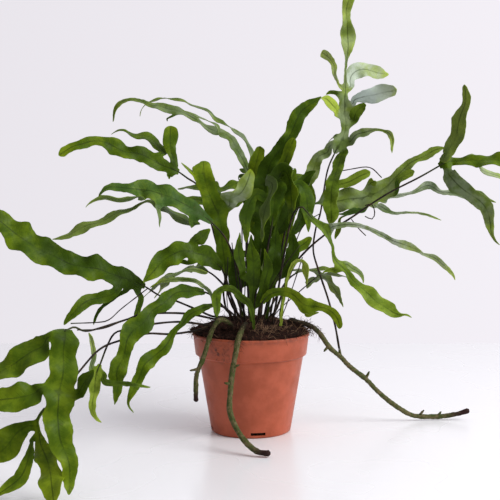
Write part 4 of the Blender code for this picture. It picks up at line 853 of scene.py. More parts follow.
def rhizome_coat():
    coat = Coat("creeping_stem_bark")
    patches = coat.step(coat.noise(*PATCH_GRAIN), 0.42, 0.66)
    colour = coat.mix(patches, STEM_GREEN, STEM_BROWN)
    grain = coat.noise(*BARK_NOISE)
    colour = coat.mix(coat.step(grain, 0.5, 0.75, 0, 0.6), colour, SCALE_BROWN)
    share = coat.attribute("share")
    colour = coat.mix(coat.step(share, *ROOT_REACH, 0.85, 0), colour, ROOT_DARK)
    colour = coat.mix(coat.step(share, *TIP_REACH), colour, STEM_TIP)
    normal = coat.bump(grain, 0.6, BARK_BUMP)
    return coat.finish(base_color=colour, roughness=0.7, normal=normal, specular_ior_level=0.15)


def scale_coat():
    coat = Coat("papery_scales")
    colour = coat.mix(coat.noise(300), STEM_BROWN, SCALE_BROWN)
    return coat.finish(base_color=colour, roughness=0.8, specular_ior_level=0.15)


bark = rhizome_coat()
papery = scale_coat()
root_hair = fibre_coat("root_hair", DARK_FIBRE)
print("stem finishes:", bark.name, papery.name, root_hair.name)

# %% [markdown]
# ### All three stems
#
# Each stem is three pieces: its body, its scales and its rootlets. The body stands for the solid. The small
# things could be joined to it with a finish for each face, but as pieces of their own they can be left out
# or changed without touching the bark.

# %% Grow the stems
scale_draw = random.Random(SCALE_SEED)
for name, foot, knots, buds in RHIZOMES:
    if name == "rhizome_right":
        buds = (*buds, (*peg_ends(), PEG_RADIUS, PEG_SWELL))
    stem_mesh, places = make_rhizome(name, foot, knots, buds)
    stem = to_piece("creeping_stem" + name.removeprefix("rhizome"), stem_mesh, bark)
    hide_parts(name)
    scales_mesh = bmesh.new()
    lay_scales(scales_mesh, places, STEM_RADII[name], scale_draw)
    scales = to_piece("scales" + name.removeprefix("rhizome"), scales_mesh, papery)
    roots_mesh = bmesh.new()
    lay_rootlets(roots_mesh, places, STEM_RADII[name], scale_draw)
    roots = to_piece("rootlets" + name.removeprefix("rhizome"), roots_mesh, root_hair)
    print(stem.name, "rings:", len(places), "scale faces:", len(scales.data.polygons))

# %% [markdown]
# ## Fronds as data
#
# Every frond is written as the points of its stalk, its blade and its lobes, in millimetres, the same ones
# that the solids were made from. A blade's and a lobe's points end with the width there. A lobe starts at a
# share of the blade's length. Side lobes of the fronds behind the pot, which the photograph doesn't show,
# follow a rule.

# %% Kinds of data
Lobe = namedtuple("Lobe", "at points")
Side = namedtuple("Side", "at turn reach width")
Frond = namedtuple("Frond", "name foot stem axis lobes slot face")
FACE_VIEWER = (0.1, -0.8, 0.6)


def tell(place, fronds):
    print(place + ":", len(fronds), "with", sum(len(frond.lobes) for frond in fronds), "lobes")


print("a frond is written as:", ", ".join(Frond._fields))

# %% [markdown]
# ### Low fronds on the left
#
# The lowest fronds of the left side lean out furthest. The photograph's edge cuts three of them off, and
# their ends are finished plainly.

# %% Low fronds on the left
LOW_LEFT_FRONDS = (
    Frond("frond_far_left", (-24, -8),
          ((-39, -15, 120), (-55, -22, 128), (-75, -32, 138), (-90, -40, 144)),
          ((-104, -47, 154, 4.5), (-117, -51, 161, 17), (-135, -54, 167, 20), (-149, -57, 173, 22),
           (-163, -60, 175, 26), (-175, -62, 178, 20), (-186, -64, 184, 24), (-202, -68, 192, 26),
           (-217, -71, 202, 27), (-232, -74, 214, 24), (-244, -77, 225, 16), (-255, -80, 237, 0)),
          (Lobe(0.079, ((-107, -54, 144, 5.9), (-109, -56, 136, 6), (-112, -58, 126, 5.9),
                (-116, -59, 117, 0))),
           Lobe(0.132, ((-129, -58, 148, 4.3), (-138, -60, 141, 3.7), (-145, -62, 136, 3.2),
                (-151, -63, 126, 2.8), (-153, -64, 117, 0))),
           Lobe(0.184, ((-135, -63, 148, 10), (-148, -66, 145, 11), (-158, -72, 143, 12),
                (-166, -77, 137, 10), (-173, -80, 129, 7), (-180, -83, 120, 0)))),
          "leaf_dark", FACE_VIEWER),
    Frond("frond_front_left", (-26, -22),
          ((-40, -36, 121), (-63, -53, 128), (-88, -70, 131), (-104, -83, 131), (-127, -118, 128),
           (-146, -156, 127), (-155, -173, 133)),
          ((-160, -181, 132, 7), (-161, -187, 133, 15), (-160, -194, 128, 21), (-161, -199, 119, 22),
           (-160, -204, 108, 22), (-160, -212, 96, 23), (-162, -222, 81, 23), (-161, -231, 67, 22),
           (-159, -239, 52, 20), (-154, -245, 42, 17), (-150, -249, 33, 14), (-148, -255, 23, 11),
           (-148, -259, 14, 7), (-149, -262, 8, 0)),
          (Lobe(0.156, ((-178, -197, 121, 22), (-187, -199, 117, 25), (-197, -201, 110, 25),
                (-208, -203, 103, 20), (-219, -206, 96, 14), (-229, -208, 88, 0))),
           Lobe(0.469, ((-180, -222, 85, 16), (-191, -225, 82, 23), (-204, -227, 81, 21),
                (-216, -226, 79, 15), (-228, -223, 78, 0))),
           Lobe(0.469, ((-144, -221, 89, 21), (-139, -222, 95, 14), (-135, -222, 100, 8),
                (-132, -221, 105, 0)))),
          "leaf_mid", FACE_UP),
    Frond("frond_front_low", (-40, -26),
          ((-54, -44, 110), (-78, -60, 109), (-101, -77, 112), (-124, -100, 109), (-140, -130, 105),
           (-157, -168, 87), (-168, -191, 76)),
          ((-176, -205, 68, 3), (-182, -211, 59, 3), (-179, -219, 49, 3.2), (-177, -226, 42, 12),
           (-171, -236, 34, 17), (-166, -247, 26, 19), (-163, -258, 17, 19), (-160, -267, 9, 13),
           (-159, -273, 4, 0)),
          (Lobe(0.2, ((-191, -216, 55, 10), (-199, -218, 49, 19), (-203, -221, 43, 23),
                (-213, -223, 33, 18), (-221, -225, 25, 0))),
           Lobe(0.3, ((-184, -229, 42, 3.6), (-185, -236, 34, 8), (-188, -243, 23, 11),
                (-195, -248, 15, 12), (-204, -252, 9, 7), (-210, -254, 5, 0)))),
          "leaf_mid", FACE_UP),
    Frond("frond_inner_left", (-32, -34),
          ((-45, -46, 116), (-70, -60, 121), (-96, -76, 121), (-116, -88, 118), (-128, -95, 116),
           (-134, -105, 107)),
          ((-140, -118, 90, 3.7), (-143, -121, 83, 7), (-144, -124, 75, 11), (-144, -127, 68, 10),
           (-145, -130, 62, 5.4), (-146, -133, 55, 7), (-145, -136, 48, 4.5), (-141, -138, 43, 2.7),
           (-136, -140, 40, 0)),
          (Lobe(0.25, ((-145, -120, 94, 4.6), (-146, -121, 105, 3.7), (-148, -121, 115, 3.7),
                (-150, -121, 121, 0))),
           Lobe(0.25, ((-137, -129, 77, 6), (-130, -130, 75, 8), (-122, -130, 74, 5.5),
                (-110, -131, 74, 4.1), (-100, -130, 72, 3.7), (-91, -129, 70, 0)))),
          "leaf_light", (0.0, -1.0, 0.0)),
)
tell("low on the left", LOW_LEFT_FRONDS)

# %% [markdown]
# ### High fronds on the left
#
# Over them come a long ribbon, a wavy and an arched blade, and the taller fronds further back.

# %% High fronds on the left
HIGH_LEFT_FRONDS = (
    Frond("frond_left_ribbon", (-18, -14),
          ((-26, -17, 128), (-38, -29, 142)),
          ((-46, -42, 148, 5.1), (-54, -50, 150, 11), (-63, -59, 151, 14), (-72, -70, 151, 12),
           (-80, -80, 145, 14), (-88, -89, 140, 14), (-95, -95, 135, 12), (-101, -101, 126, 18),
           (-110, -107, 120, 20), (-116, -111, 111, 14), (-117, -114, 102, 12), (-119, -116, 94, 12),
           (-124, -118, 87, 16), (-125, -119, 79, 16), (-123, -120, 71, 9), (-125, -121, 62, 6),
           (-127, -121, 51, 0)),
          (), "leaf_dark", FACE_VIEWER),
    Frond("frond_left_wavy", (-10, -31),
          ((-17, -34, 124), (-25, -37, 131)),
          ((-34, -42, 135, 3.9), (-45, -49, 134, 5.4), (-53, -54, 131, 9), (-61, -58, 127, 9),
           (-67, -62, 119, 5), (-74, -66, 114, 5.9), (-78, -70, 106, 7), (-84, -75, 98, 11),
           (-94, -82, 90, 13), (-102, -87, 84, 13), (-105, -90, 75, 10), (-109, -93, 67, 9),
           (-113, -96, 59, 7), (-116, -98, 52, 3.3), (-116, -99, 46, 1.9), (-110, -100, 39, 0)),
          (), "leaf_mid", FACE_VIEWER),
    Frond("frond_upper_left", (-16, 8),
          ((-20, 9, 135), (-34, 14, 186), (-45, 18, 226), (-53, 20, 249), (-66, 20, 259)),
          ((-74, 17, 265, 5.7), (-80, 15, 268, 8), (-91, 16, 272, 13), (-100, 14, 277, 15),
           (-109, 13, 282, 17), (-119, 11, 285, 12), (-130, 9, 286, 17), (-140, 7, 292, 16),
           (-149, 4, 296, 11), (-160, 1, 297, 9), (-170, -3, 294, 10), (-180, -7, 291, 8),
           (-189, -10, 285, 8), (-194, -11, 282, 0)),
          (Lobe(0.107, ((-82, 23, 284, 9), (-83, 22, 296, 16), (-83, 21, 303, 17), (-83, 20, 310, 14),
                (-83, 20, 313, 0))),
           Lobe(0.229, ((-89, 25, 284, 6), (-96, 27, 292, 13), (-103, 30, 299, 16), (-111, 32, 303, 14),
                (-120, 34, 303, 10), (-129, 36, 306, 5.9), (-137, 37, 309, 2.2), (-147, 38, 303, 0))),
           Lobe(0.107, ((-84, 13, 262, 5.1), (-84, 12, 257, 0)))),
          "leaf_mid", (0.1, -0.9, 0.5)),
    Frond("frond_tall_left", (-12, -4),
          ((-19, -12, 130), (-25, -19, 150)),
          ((-25, -22, 162, 4), (-26, -22, 172, 11), (-27, -23, 183, 13), (-29, -25, 195, 13),
           (-29, -26, 208, 13), (-32, -28, 222, 17), (-37, -30, 235, 19), (-42, -31, 246, 16),
           (-45, -32, 257, 17), (-46, -33, 267, 17), (-47, -33, 274, 14), (-47, -33, 278, 0)),
          (Lobe(0.625, ((-22, -34, 238, 21), (-13, -38, 243, 18), (-6, -41, 251, 16), (-2, -43, 261, 13),
                (0, -44, 271, 0))),
           Lobe(0.958, ((-55, -40, 264, 12), (-60, -39, 268, 8), (-65, -39, 272, 3), (-69, -40, 276, 0)))),
          "leaf_mid", FACE_VIEWER),
    Frond("frond_mid_left", (-6, -16),
          ((-9, -24, 137), (-13, -36, 169), (-24, -46, 200)),
          ((-38, -50, 217, 4.5), (-47, -51, 224, 11), (-57, -53, 231, 15), (-69, -55, 238, 17),
           (-79, -57, 243, 18), (-88, -58, 246, 20), (-98, -60, 249, 20), (-107, -58, 250, 18),
           (-116, -65, 251, 12), (-126, -65, 252, 9), (-134, -67, 253, 7), (-141, -69, 251, 4),
           (-145, -70, 245, 2), (-146, -71, 240, 0)),
          (Lobe(0.654, ((-105, -70, 244, 7), (-116, -74, 241, 7), (-127, -78, 241, 8), (-138, -81, 243, 10),
                (-145, -83, 242, 5.1), (-152, -86, 239, 2.1), (-157, -87, 233, 0))),
           Lobe(0.165, ((-54, -45, 214, 10), (-65, -44, 219, 14), (-78, -44, 226, 15), (-88, -46, 233, 13),
                (-97, -49, 238, 6), (-106, -52, 237, 3.5), (-114, -55, 231, 2.8), (-121, -57, 229, 6),
                (-128, -59, 228, 8), (-135, -61, 224, 9), (-145, -63, 218, 8), (-156, -65, 216, 9),
                (-165, -67, 212, 10), (-173, -69, 207, 9), (-182, -70, 204, 3.9), (-192, -71, 202, 0))),
           Lobe(0.5, ((-90, -66, 234, 4.4), (-88, -66, 226, 3.4), (-88, -66, 212, 0)))),
          "leaf_teal", FACE_VIEWER),
    Frond("frond_left_arch", (-21, 2),
          ((-26, -2, 128), (-28, -13, 146), (-26, -25, 160)),
          ((-29, -33, 170, 6), (-34, -37, 176, 14), (-44, -42, 184, 20), (-55, -46, 187, 14),
           (-64, -50, 190, 14), (-74, -55, 188, 20), (-82, -58, 183, 19), (-90, -62, 176, 16),
           (-96, -66, 169, 12), (-101, -69, 164, 4.8), (-104, -71, 160, 0)),
          (Lobe(0.4, ((-52, -44, 200, 13), (-46, -40, 205, 10), (-39, -37, 211, 0))),
           Lobe(0.45, ((-65, -48, 179, 4.6), (-71, -50, 178, 0)))),
          "leaf_mid", FACE_VIEWER),
    Frond("frond_back_left", (-2, 14),
          ((-3, 18, 140), (-4, 26, 174), (-3, 38, 235)),
          ((-2, 46, 260, 5.6), (-6, 48, 272, 6), (-11, 51, 282, 11), (-16, 53, 290, 10), (-21, 56, 300, 8),
           (-31, 59, 306, 10), (-42, 61, 309, 8), (-50, 62, 314, 5.6), (-60, 63, 321, 5.6),
           (-70, 64, 326, 6), (-78, 65, 330, 10), (-88, 66, 331, 10), (-99, 66, 335, 11),
           (-107, 67, 335, 7), (-114, 68, 339, 3.3), (-124, 69, 341, 5.7), (-133, 69, 341, 3.6),
           (-142, 70, 336, 5.7), (-146, 71, 328, 4.2), (-148, 72, 316, 0)),
          (Lobe(0.071, ((1, 56, 274, 5.7), (1, 62, 285, 7), (-3, 70, 294, 6), (-11, 76, 304, 8),
                (-20, 80, 311, 7), (-29, 83, 315, 5.5), (-38, 86, 322, 9), (-45, 88, 329, 10),
                (-55, 90, 333, 4.8), (-66, 93, 337, 4.8), (-77, 96, 342, 5.8), (-91, 99, 344, 5.8),
                (-105, 101, 342, 5), (-115, 101, 338, 3.7), (-120, 102, 332, 3.7), (-122, 102, 323, 0))),
           Lobe(0.31, ((-34, 50, 312, 8), (-43, 48, 317, 4.2), (-56, 47, 323, 4.2), (-66, 46, 327, 3.5),
                (-73, 45, 330, 0))),
           Lobe(0.595, ((-85, 60, 324, 2.6), (-89, 59, 321, 2.4), (-88, 58, 317, 0)))),
          "leaf_mid", (0.3, -0.5, 0.8)),
)
tell("high on the left", HIGH_LEFT_FRONDS)

# %% [markdown]
# ### Fronds in the middle
#
# The middle fronds stand upright and crowd together, with broad dark lobes.

# %% Fronds in the middle
MIDDLE_FRONDS = (
    Frond("frond_centre_tall", (3, 2),
          ((5, 4, 140), (6, 5, 155)),
          ((7, 5, 169, 7), (10, 5, 191, 14), (13, 3, 212, 18), (14, 1, 232, 22), (14, 0, 249, 22),
           (17, -1, 266, 19), (23, -3, 280, 15), (32, -4, 291, 12), (39, -5, 302, 13), (44, -5, 313, 14),
           (50, -3, 326, 14), (59, -2, 333, 10), (67, 0, 338, 5.1), (72, 1, 342, 0)),
          (Lobe(0.475, ((26, -9, 259, 9), (30, -12, 268, 10), (35, -14, 279, 11), (39, -15, 289, 12),
                (42, -15, 297, 7), (43, -15, 301, 0))),
           Lobe(0.225, ((0, 9, 223, 10), (-2, 12, 238, 13), (1, 14, 255, 12), (4, 15, 269, 12),
                (7, 16, 282, 12), (9, 17, 289, 9), (10, 17, 292, 0))),
           Lobe(0.475, ((-5, -4, 260, 7), (-13, -8, 262, 3), (-11, -10, 254, 0))),
           Lobe(0.225, ((34, 5, 214, 12), (41, 6, 230, 15), (46, 6, 244, 15), (52, 5, 255, 12),
                (59, 4, 262, 8), (67, 3, 267, 0)))),
          "leaf_dark", FACE_VIEWER),
    Frond("frond_centre_right", (10, -12),
          ((13, -13, 150), (17, -14, 190)),
          ((21, -15, 212, 4), (24, -18, 238, 14), (27, -22, 258, 18), (32, -29, 268, 18),
           (37, -30, 261, 17), (39, -39, 245, 16), (40, -39, 228, 13), (39, -40, 206, 0)),
          (Lobe(0.28, ((6, -23, 245, 12), (-2, -26, 234, 14), (-5, -27, 216, 13), (-5, -28, 194, 0))),
           Lobe(0.36, ((47, -14, 255, 7), (55, -12, 245, 15), (57, -12, 228, 13), (58, -12, 204, 0))),
           Lobe(0.4, ((22, -40, 254, 12), (17, -42, 238, 11), (12, -43, 220, 13), (11, -43, 196, 0)))),
          "leaf_dark", FACE_VIEWER),
    Frond("frond_centre_back", (20, 12),
          ((24, 13, 140),),
          ((26, 20, 160, 6), (31, 27, 195, 16), (36, 34, 226, 18), (41, 39, 250, 17), (47, 44, 270, 0)),
          (Lobe(0.26, ((14, 33, 210, 12), (7, 38, 234, 14), (8, 43, 262, 0))),
           Lobe(0.42, ((56, 37, 222, 12), (62, 43, 238, 12), (64, 48, 254, 0)))),
          "leaf_dark", FACE_VIEWER),
)
tell("in the middle", MIDDLE_FRONDS)

# %% [markdown]
# ### Fronds on the right
#
# The right fronds lean out over the long stem, and one carries a painted sheen.

# %% Fronds on the right
RIGHT_FRONDS = (
    Frond("frond_right", (18, -16),
          ((25, -16, 126), (34, -17, 150), (44, -19, 173), (58, -23, 190), (77, -26, 206), (100, -28, 221),
           (120, -30, 235), (139, -32, 247), (166, -34, 261)),
          ((185, -35, 272, 5.3), (191, -38, 276, 12), (199, -33, 277, 9), (208, -40, 277, 11),
           (219, -44, 278, 14), (231, -49, 278, 15), (242, -53, 278, 16), (251, -56, 278, 10),
           (257, -58, 277, 0)),
          (Lobe(0.188, ((189, -41, 279, 13), (192, -41, 286, 11), (200, -40, 297, 17), (202, -40, 304, 17),
                (202, -40, 310, 15), (204, -41, 317, 15), (206, -42, 325, 12), (209, -43, 334, 9),
                (209, -44, 343, 7), (208, -44, 348, 4.9), (207, -44, 352, 0))),
           Lobe(0.188, ((193, -37, 265, 15), (199, -42, 258, 17), (205, -46, 251, 16), (213, -50, 245, 13),
                (222, -53, 239, 14), (229, -56, 229, 13), (232, -58, 218, 9), (232, -60, 209, 5.2),
                (235, -61, 202, 2.5), (242, -61, 195, 0))),
           Lobe(0.562, ((226, -36, 269, 7), (236, -33, 265, 9), (247, -30, 261, 9), (255, -28, 257, 0)))),
          "leaf_mid", (0.0, -0.9, 0.5)),
    Frond("frond_right_broad", (14, 6),
          ((19, 8, 140), (29, 13, 175), (39, 20, 219)),
          ((49, 21, 230, 3), (60, 22, 232, 3), (72, 21, 233, 3), (87, 21, 235, 20), (100, 20, 237, 21),
           (115, 19, 239, 16), (128, 18, 243, 18), (139, 16, 250, 18), (147, 14, 258, 9),
           (155, 12, 267, 11), (162, 11, 274, 9), (170, 10, 278, 6), (178, 9, 282, 9), (185, 7, 287, 9),
           (192, 6, 289, 4.7), (198, 5, 290, 0)),
          (Lobe(0.215, ((91, 20, 252, 8), (99, 19, 254, 9), (107, 18, 258, 10), (114, 17, 262, 10),
                (120, 17, 264, 9), (123, 17, 266, 0))),
           Lobe(0.5, ((126, 16, 252, 11), (127, 16, 255, 9), (127, 16, 257, 0))),
           Lobe(0.626, ((150, 6, 258, 8), (157, 4, 262, 8), (163, 3, 265, 8), (167, 2, 266, 0))),
           Lobe(0.559, ((142, 24, 239, 4.3), (152, 25, 241, 5.9), (163, 25, 242, 3.2), (171, 25, 245, 7),
                (180, 25, 251, 10), (188, 25, 250, 9), (195, 25, 245, 6), (206, 25, 244, 5.3),
                (218, 25, 241, 7), (228, 26, 241, 11), (237, 26, 242, 9), (245, 26, 237, 4.3),
                (256, 26, 233, 0))),
           Lobe(0.5, ((132, 23, 231, 5.4), (139, 25, 227, 7), (148, 27, 222, 3.2), (163, 29, 223, 2.1),
                (181, 32, 221, 2.1), (193, 36, 217, 1.9), (201, 38, 213, 0))),
           Lobe(0.441, ((109, 12, 226, 8), (99, 11, 223, 4.9), (87, 9, 222, 0))),
           Lobe(0.374, ((92, 25, 217, 2.2), (92, 25, 209, 5.4), (90, 25, 202, 5.7), (87, 24, 194, 0)))),
          "leaf_teal", (0.0, -0.95, 0.3)),
    Frond("frond_right_drooping", (22, -24),
          ((25, -30, 135), (31, -38, 175), (37, -46, 210), (42, -50, 227), (49, -53, 233)),
          ((55, -54, 227, 5), (63, -57, 218, 8), (71, -59, 212, 9), (76, -60, 203, 4.8),
           (79, -61, 194, 3.3), (80, -62, 184, 4.1), (86, -63, 177, 8), (91, -65, 172, 6),
           (98, -68, 163, 8), (105, -72, 157, 11), (113, -76, 150, 15), (121, -80, 143, 16),
           (129, -84, 138, 16), (135, -87, 134, 11), (140, -89, 132, 4.3), (147, -91, 133, 2.4),
           (153, -92, 129, 0)),
          (Lobe(0.219, ((79, -60, 214, 6), (89, -61, 216, 5), (99, -62, 216, 4.2), (109, -63, 214, 3.9),
                (121, -65, 209, 3.9), (134, -67, 202, 5.1), (145, -69, 198, 7), (153, -70, 195, 7),
                (160, -71, 192, 4.2), (166, -71, 188, 2.4), (174, -72, 186, 4.8), (181, -73, 181, 5.8),
                (188, -74, 175, 4.4), (193, -74, 170, 2.7), (196, -75, 162, 0))),
           Lobe(0.469, ((96, -62, 174, 7), (103, -63, 171, 5.2), (108, -64, 166, 3.4), (109, -65, 158, 0))),
           Lobe(0.469, ((82, -64, 173, 5.3), (75, -64, 172, 3.5), (68, -64, 169, 0)))),
          "leaf_light", (0.2, -0.7, 0.7)),
    Frond("frond_low_right", (6, -31),
          ((8, -34, 122),),
          ((11, -37, 136, 4.2), (17, -40, 144, 8), (24, -43, 148, 8), (33, -46, 149, 9), (42, -49, 146, 9),
           (49, -54, 139, 14), (55, -56, 136, 15), (61, -55, 136, 10), (68, -58, 135, 8), (74, -60, 134, 9),
           (80, -62, 130, 8), (84, -64, 125, 7), (86, -65, 118, 5.9), (86, -65, 114, 0)),
          (Lobe(0.7, ((53, -53, 129, 7), (60, -54, 128, 3.4), (68, -55, 130, 0))),),
          "leaf_mid", FACE_VIEWER),
)
tell("on the right", RIGHT_FRONDS)

# %% [markdown]
# ### Fronds behind
#
# The back of the plant isn't in the photograph, so these fronds have regular side lobes.

# %% Fronds behind
BACK_FRONDS = (
    Frond("frond_behind_low", (-14, 18),
          ((-22, 24, 138), (-34, 32, 152)),
          ((-46, 40, 160, 4), (-62, 52, 163, 13), (-77, 66, 157, 15), (-92, 84, 144, 13),
           (-108, 102, 122, 0)),
          (Side(0.2, 1, 42, 12), Side(0.3, -1, 40, 12), Side(0.5, 1, 36, 11), Side(0.62, -1, 34, 10)),
           "leaf_mid", FACE_UP),
    Frond("frond_behind", (-2, 30),
          ((-2, 42, 138), (0, 58, 160)),
          ((2, 72, 171, 4), (4, 92, 178, 12), (7, 116, 174, 14), (9, 138, 160, 12), (10, 162, 132, 0)),
          (Side(0.1, 1, 44, 13), Side(0.18, -1, 46, 13), Side(0.38, 1, 44, 12), Side(0.46, -1, 42, 12),
           Side(0.68, 1, 32, 10), Side(0.74, -1, 30, 10)), "leaf_dark", (0.0, 0.2, 1.0)),
    Frond("frond_behind_right", (18, 26),
          ((26, 36, 132), (38, 52, 148)),
          ((48, 64, 155, 4), (62, 82, 158, 12), (78, 100, 150, 13), (93, 118, 134, 11), (106, 134, 108, 0)),
          (Side(0.15, 1, 38, 12), Side(0.25, -1, 40, 12), Side(0.5, 1, 34, 11), Side(0.6, -1, 32, 10)),
           "leaf_mid", (0.0, 0.2, 1.0)),
    Frond("frond_behind_left_tall", (-10, 22),
          ((-16, 34, 150), (-25, 48, 194)),
          ((-31, 60, 220, 4), (-38, 78, 240, 12), (-44, 98, 250, 13), (-49, 118, 250, 12),
           (-54, 142, 238, 0)),
          (Side(0.12, 1, 34, 11), Side(0.24, -1, 36, 12), Side(0.45, 1, 36, 12), Side(0.58, -1, 34, 11)),
           "leaf_mid", (0.0, -0.5, 0.9)),
    Frond("frond_behind_tall", (8, 24),
          ((12, 36, 150), (17, 50, 200)),
          ((19, 64, 226, 4), (20, 80, 246, 12), (21, 98, 262, 13), (22, 118, 270, 12), (22, 144, 268, 0)),
          (Side(0.12, 1, 36, 12), Side(0.22, -1, 38, 12), Side(0.45, 1, 38, 12), Side(0.55, -1, 34, 11),
           Side(0.8, 1, 26, 9)), "leaf_dark", (0.0, -0.8, 0.6)),
)
tell("behind", BACK_FRONDS)

# %% [markdown]
# ### The tallest frond
#
# The tallest frond stands on the right stem's peg and carries most of the lobes that stand out.

# %% The tallest frond
TALLEST = Frond("frond_tallest", PEG_ROOT,
      ((87, 15, 108), (80, 18, 134), (70, 24, 164), (65, 28, 184), (68, 32, 207), (73, 36, 223),
       (80, 44, 264)),
      ((88, 47, 284, 4.2), (94, 49, 295, 12), (99, 51, 306, 7), (100, 53, 317, 10), (99, 55, 328, 11),
       (99, 56, 339, 9), (100, 58, 350, 3.8), (100, 60, 362, 2.4), (100, 60, 373, 2.4), (101, 60, 383, 2.8),
       (102, 61, 389, 6), (103, 61, 397, 13), (102, 61, 405, 16), (102, 62, 413, 13), (102, 62, 421, 9),
       (100, 61, 432, 9), (102, 60, 442, 10), (105, 59, 451, 12), (105, 58, 460, 9), (107, 58, 468, 0)),
      (Lobe(0.075, ((95, 41, 284, 11), (93, 35, 276, 12), (89, 26, 267, 11), (85, 16, 257, 13),
            (82, 8, 247, 14), (82, 3, 237, 14), (81, 0, 227, 14), (82, -2, 219, 12), (80, -3, 211, 0))),
       Lobe(0.075, ((82, 50, 285, 9), (72, 51, 282, 10), (68, 52, 273, 13), (65, 53, 263, 13),
            (58, 54, 253, 12), (51, 55, 243, 10), (45, 56, 235, 0))),
       Lobe(0.125, ((107, 45, 301, 10), (113, 43, 305, 7), (119, 41, 306, 9), (125, 39, 308, 4.2),
            (132, 36, 309, 2.5), (139, 33, 307, 2.7), (144, 31, 305, 5.2), (147, 29, 298, 4.6),
            (146, 28, 291, 3.1), (146, 28, 283, 0))),
       Lobe(0.125, ((90, 60, 302, 3.2), (86, 62, 300, 2.9), (82, 63, 295, 0))),
       Lobe(0.225, ((108, 50, 325, 11), (113, 48, 331, 12), (118, 46, 334, 8), (121, 45, 335, 0))),
       Lobe(0.275, ((91, 50, 329, 10), (85, 46, 335, 11), (79, 42, 341, 8), (72, 39, 342, 0))),
       Lobe(0.375, ((90, 57, 349, 4.4), (84, 56, 349, 4.3), (78, 55, 345, 0))),
       Lobe(0.325, ((108, 52, 340, 7), (114, 49, 342, 10), (121, 46, 344, 14), (129, 43, 345, 17),
            (138, 40, 347, 16), (145, 38, 349, 13), (150, 37, 349, 9), (152, 37, 349, 0))),
       Lobe(0.425, ((92, 64, 360, 2.7), (89, 68, 367, 3.3), (89, 71, 376, 6), (86, 74, 383, 5.1),
            (82, 77, 388, 8), (77, 78, 391, 9), (75, 79, 392, 0))),
       Lobe(0.425, ((105, 62, 358, 8), (106, 66, 365, 12), (111, 69, 371, 16), (120, 72, 374, 16),
            (129, 75, 372, 14), (136, 78, 370, 12), (143, 80, 369, 8), (149, 82, 369, 0)))),
      "leaf_light", (0.1, -0.95, 0.2))
tell("on the peg", (TALLEST,))

# %% [markdown]
# ### Small leaves
#
# Small leaves are green down to the mix and have no stalk of their own. A few fork, which is written as
# lobes.

# %% Small leaves
LEAVES = (
    Frond("leaf_hanging_light", (30, -24), (),
          ((34, -27, 147, 2.4), (39, -36, 170, 3), (45, -42, 179, 5.6), (50, -46, 179, 11),
           (53, -49, 171, 12), (55, -50, 163, 9), (54, -51, 155, 0)),
          (), "leaf_light", FACE_VIEWER),
    Frond("leaf_oval", (30, 4), (),
          ((34, 3, 143, 2.6), (39, 3, 168, 3.5), (45, 4, 184, 9), (51, 5, 190, 12), (57, 6, 194, 9),
           (63, 7, 200, 0)),
          (), "leaf_mid", FACE_VIEWER),
    Frond("leaf_curled", (3, -44), (),
          ((-1, -45, 135, 5.6), (-10, -47, 144, 7), (-19, -49, 152, 6), (-26, -51, 153, 5.9),
           (-34, -53, 149, 8), (-33, -55, 141, 9), (-33, -56, 132, 7), (-34, -57, 124, 0)),
          (), "leaf_light", FACE_VIEWER),
    Frond("leaf_thin", (-34, -24), (),
          ((-39, -44, 145, 3), (-48, -50, 156, 3.5), (-57, -55, 161, 4.5), (-70, -61, 163, 5.4),
           (-82, -66, 162, 4.3), (-90, -69, 161, 2.3), (-96, -71, 156, 0)),
          (Lobe(0.955, ((-78, -70, 167, 2.8), (-70, -68, 170, 3.2), (-61, -66, 173, 3.7),
                (-52, -63, 172, 4.1), (-46, -61, 169, 5.2), (-41, -60, 169, 0))),),
          "leaf_mid", FACE_VIEWER),
    Frond("leaf_dark_short", (-9, 7), (),
          ((-13, 8, 134, 4), (-16, 9, 152, 13), (-19, 10, 168, 12), (-24, 12, 190, 0)),
          (Lobe(0.50, ((0, 8, 158, 10), (3, 9, 176, 11), (-1, 11, 200, 0))),),
          "leaf_dark", FACE_VIEWER),
    Frond("leaf_centre_front", (0, -24), (),
          ((1, -26, 136, 4), (3, -31, 160, 12), (2, -34, 180, 12), (-1, -36, 203, 0)),
          (Lobe(0.60, ((-8, -44, 170, 8), (-12, -47, 186, 10), (-11, -46, 209, 0))),
           Lobe(0.30, ((14, -33, 158, 9), (17, -34, 172, 9), (13, -35, 192, 0)))),
          "leaf_mid", FACE_VIEWER),
    Frond("leaf_centre_inner", (16, -5), (),
          ((19, -5, 138, 4), (21, -4, 158, 13), (24, -2, 180, 15), (26, -1, 214, 0)),
          (Lobe(0.52, ((39, -3, 172, 11), (43, -2, 188, 12), (42, -1, 210, 0))),
           Lobe(0.44, ((6, -4, 164, 10), (2, -5, 182, 11), (0, -7, 204, 0)))),
          "leaf_dark", FACE_VIEWER),
)
tell("small leaves", LEAVES)

# %% [markdown]
# ## Blades
#
# A blade is a leathery ribbon, half a millimetre thick, with a sunk midrib and waved edges. A flat grid
# with a wave modifier would wave every blade alike, so each row of five corners is worked out on its own. A
# row also keeps values that the colour needs later: how far a corner is from the nearest rib, how far along
# it is, how near the margin it is, how young it is with painted shade at its foot, and its painted sheen.

# %% Row of a blade
# Shares of a blade's width. The surge's rate is a share of the wave's, and the edge shift is in radians.
KEEL = 0.05
WAVE = 0.26
WAVE_GAIN = 1.2
WIDTH_GAIN = 1.08
SCALLOP = 0.13
NOTCH = 0.4
SURGE = 0.45
SURGE_RATE = 0.37
EDGE_SHIFT = 2.2
ARCH = 0.06
ACROSS = (-1.0, -0.5, 0.0, 0.5, 1.0)
# The fourth value also carries painted shade at a blade's foot; the fifth is painted sheen, a stand-in for
# light mirrored in the wax.
SHEET_LAYERS = ("rib", "along", "margin", "youth", "silver")


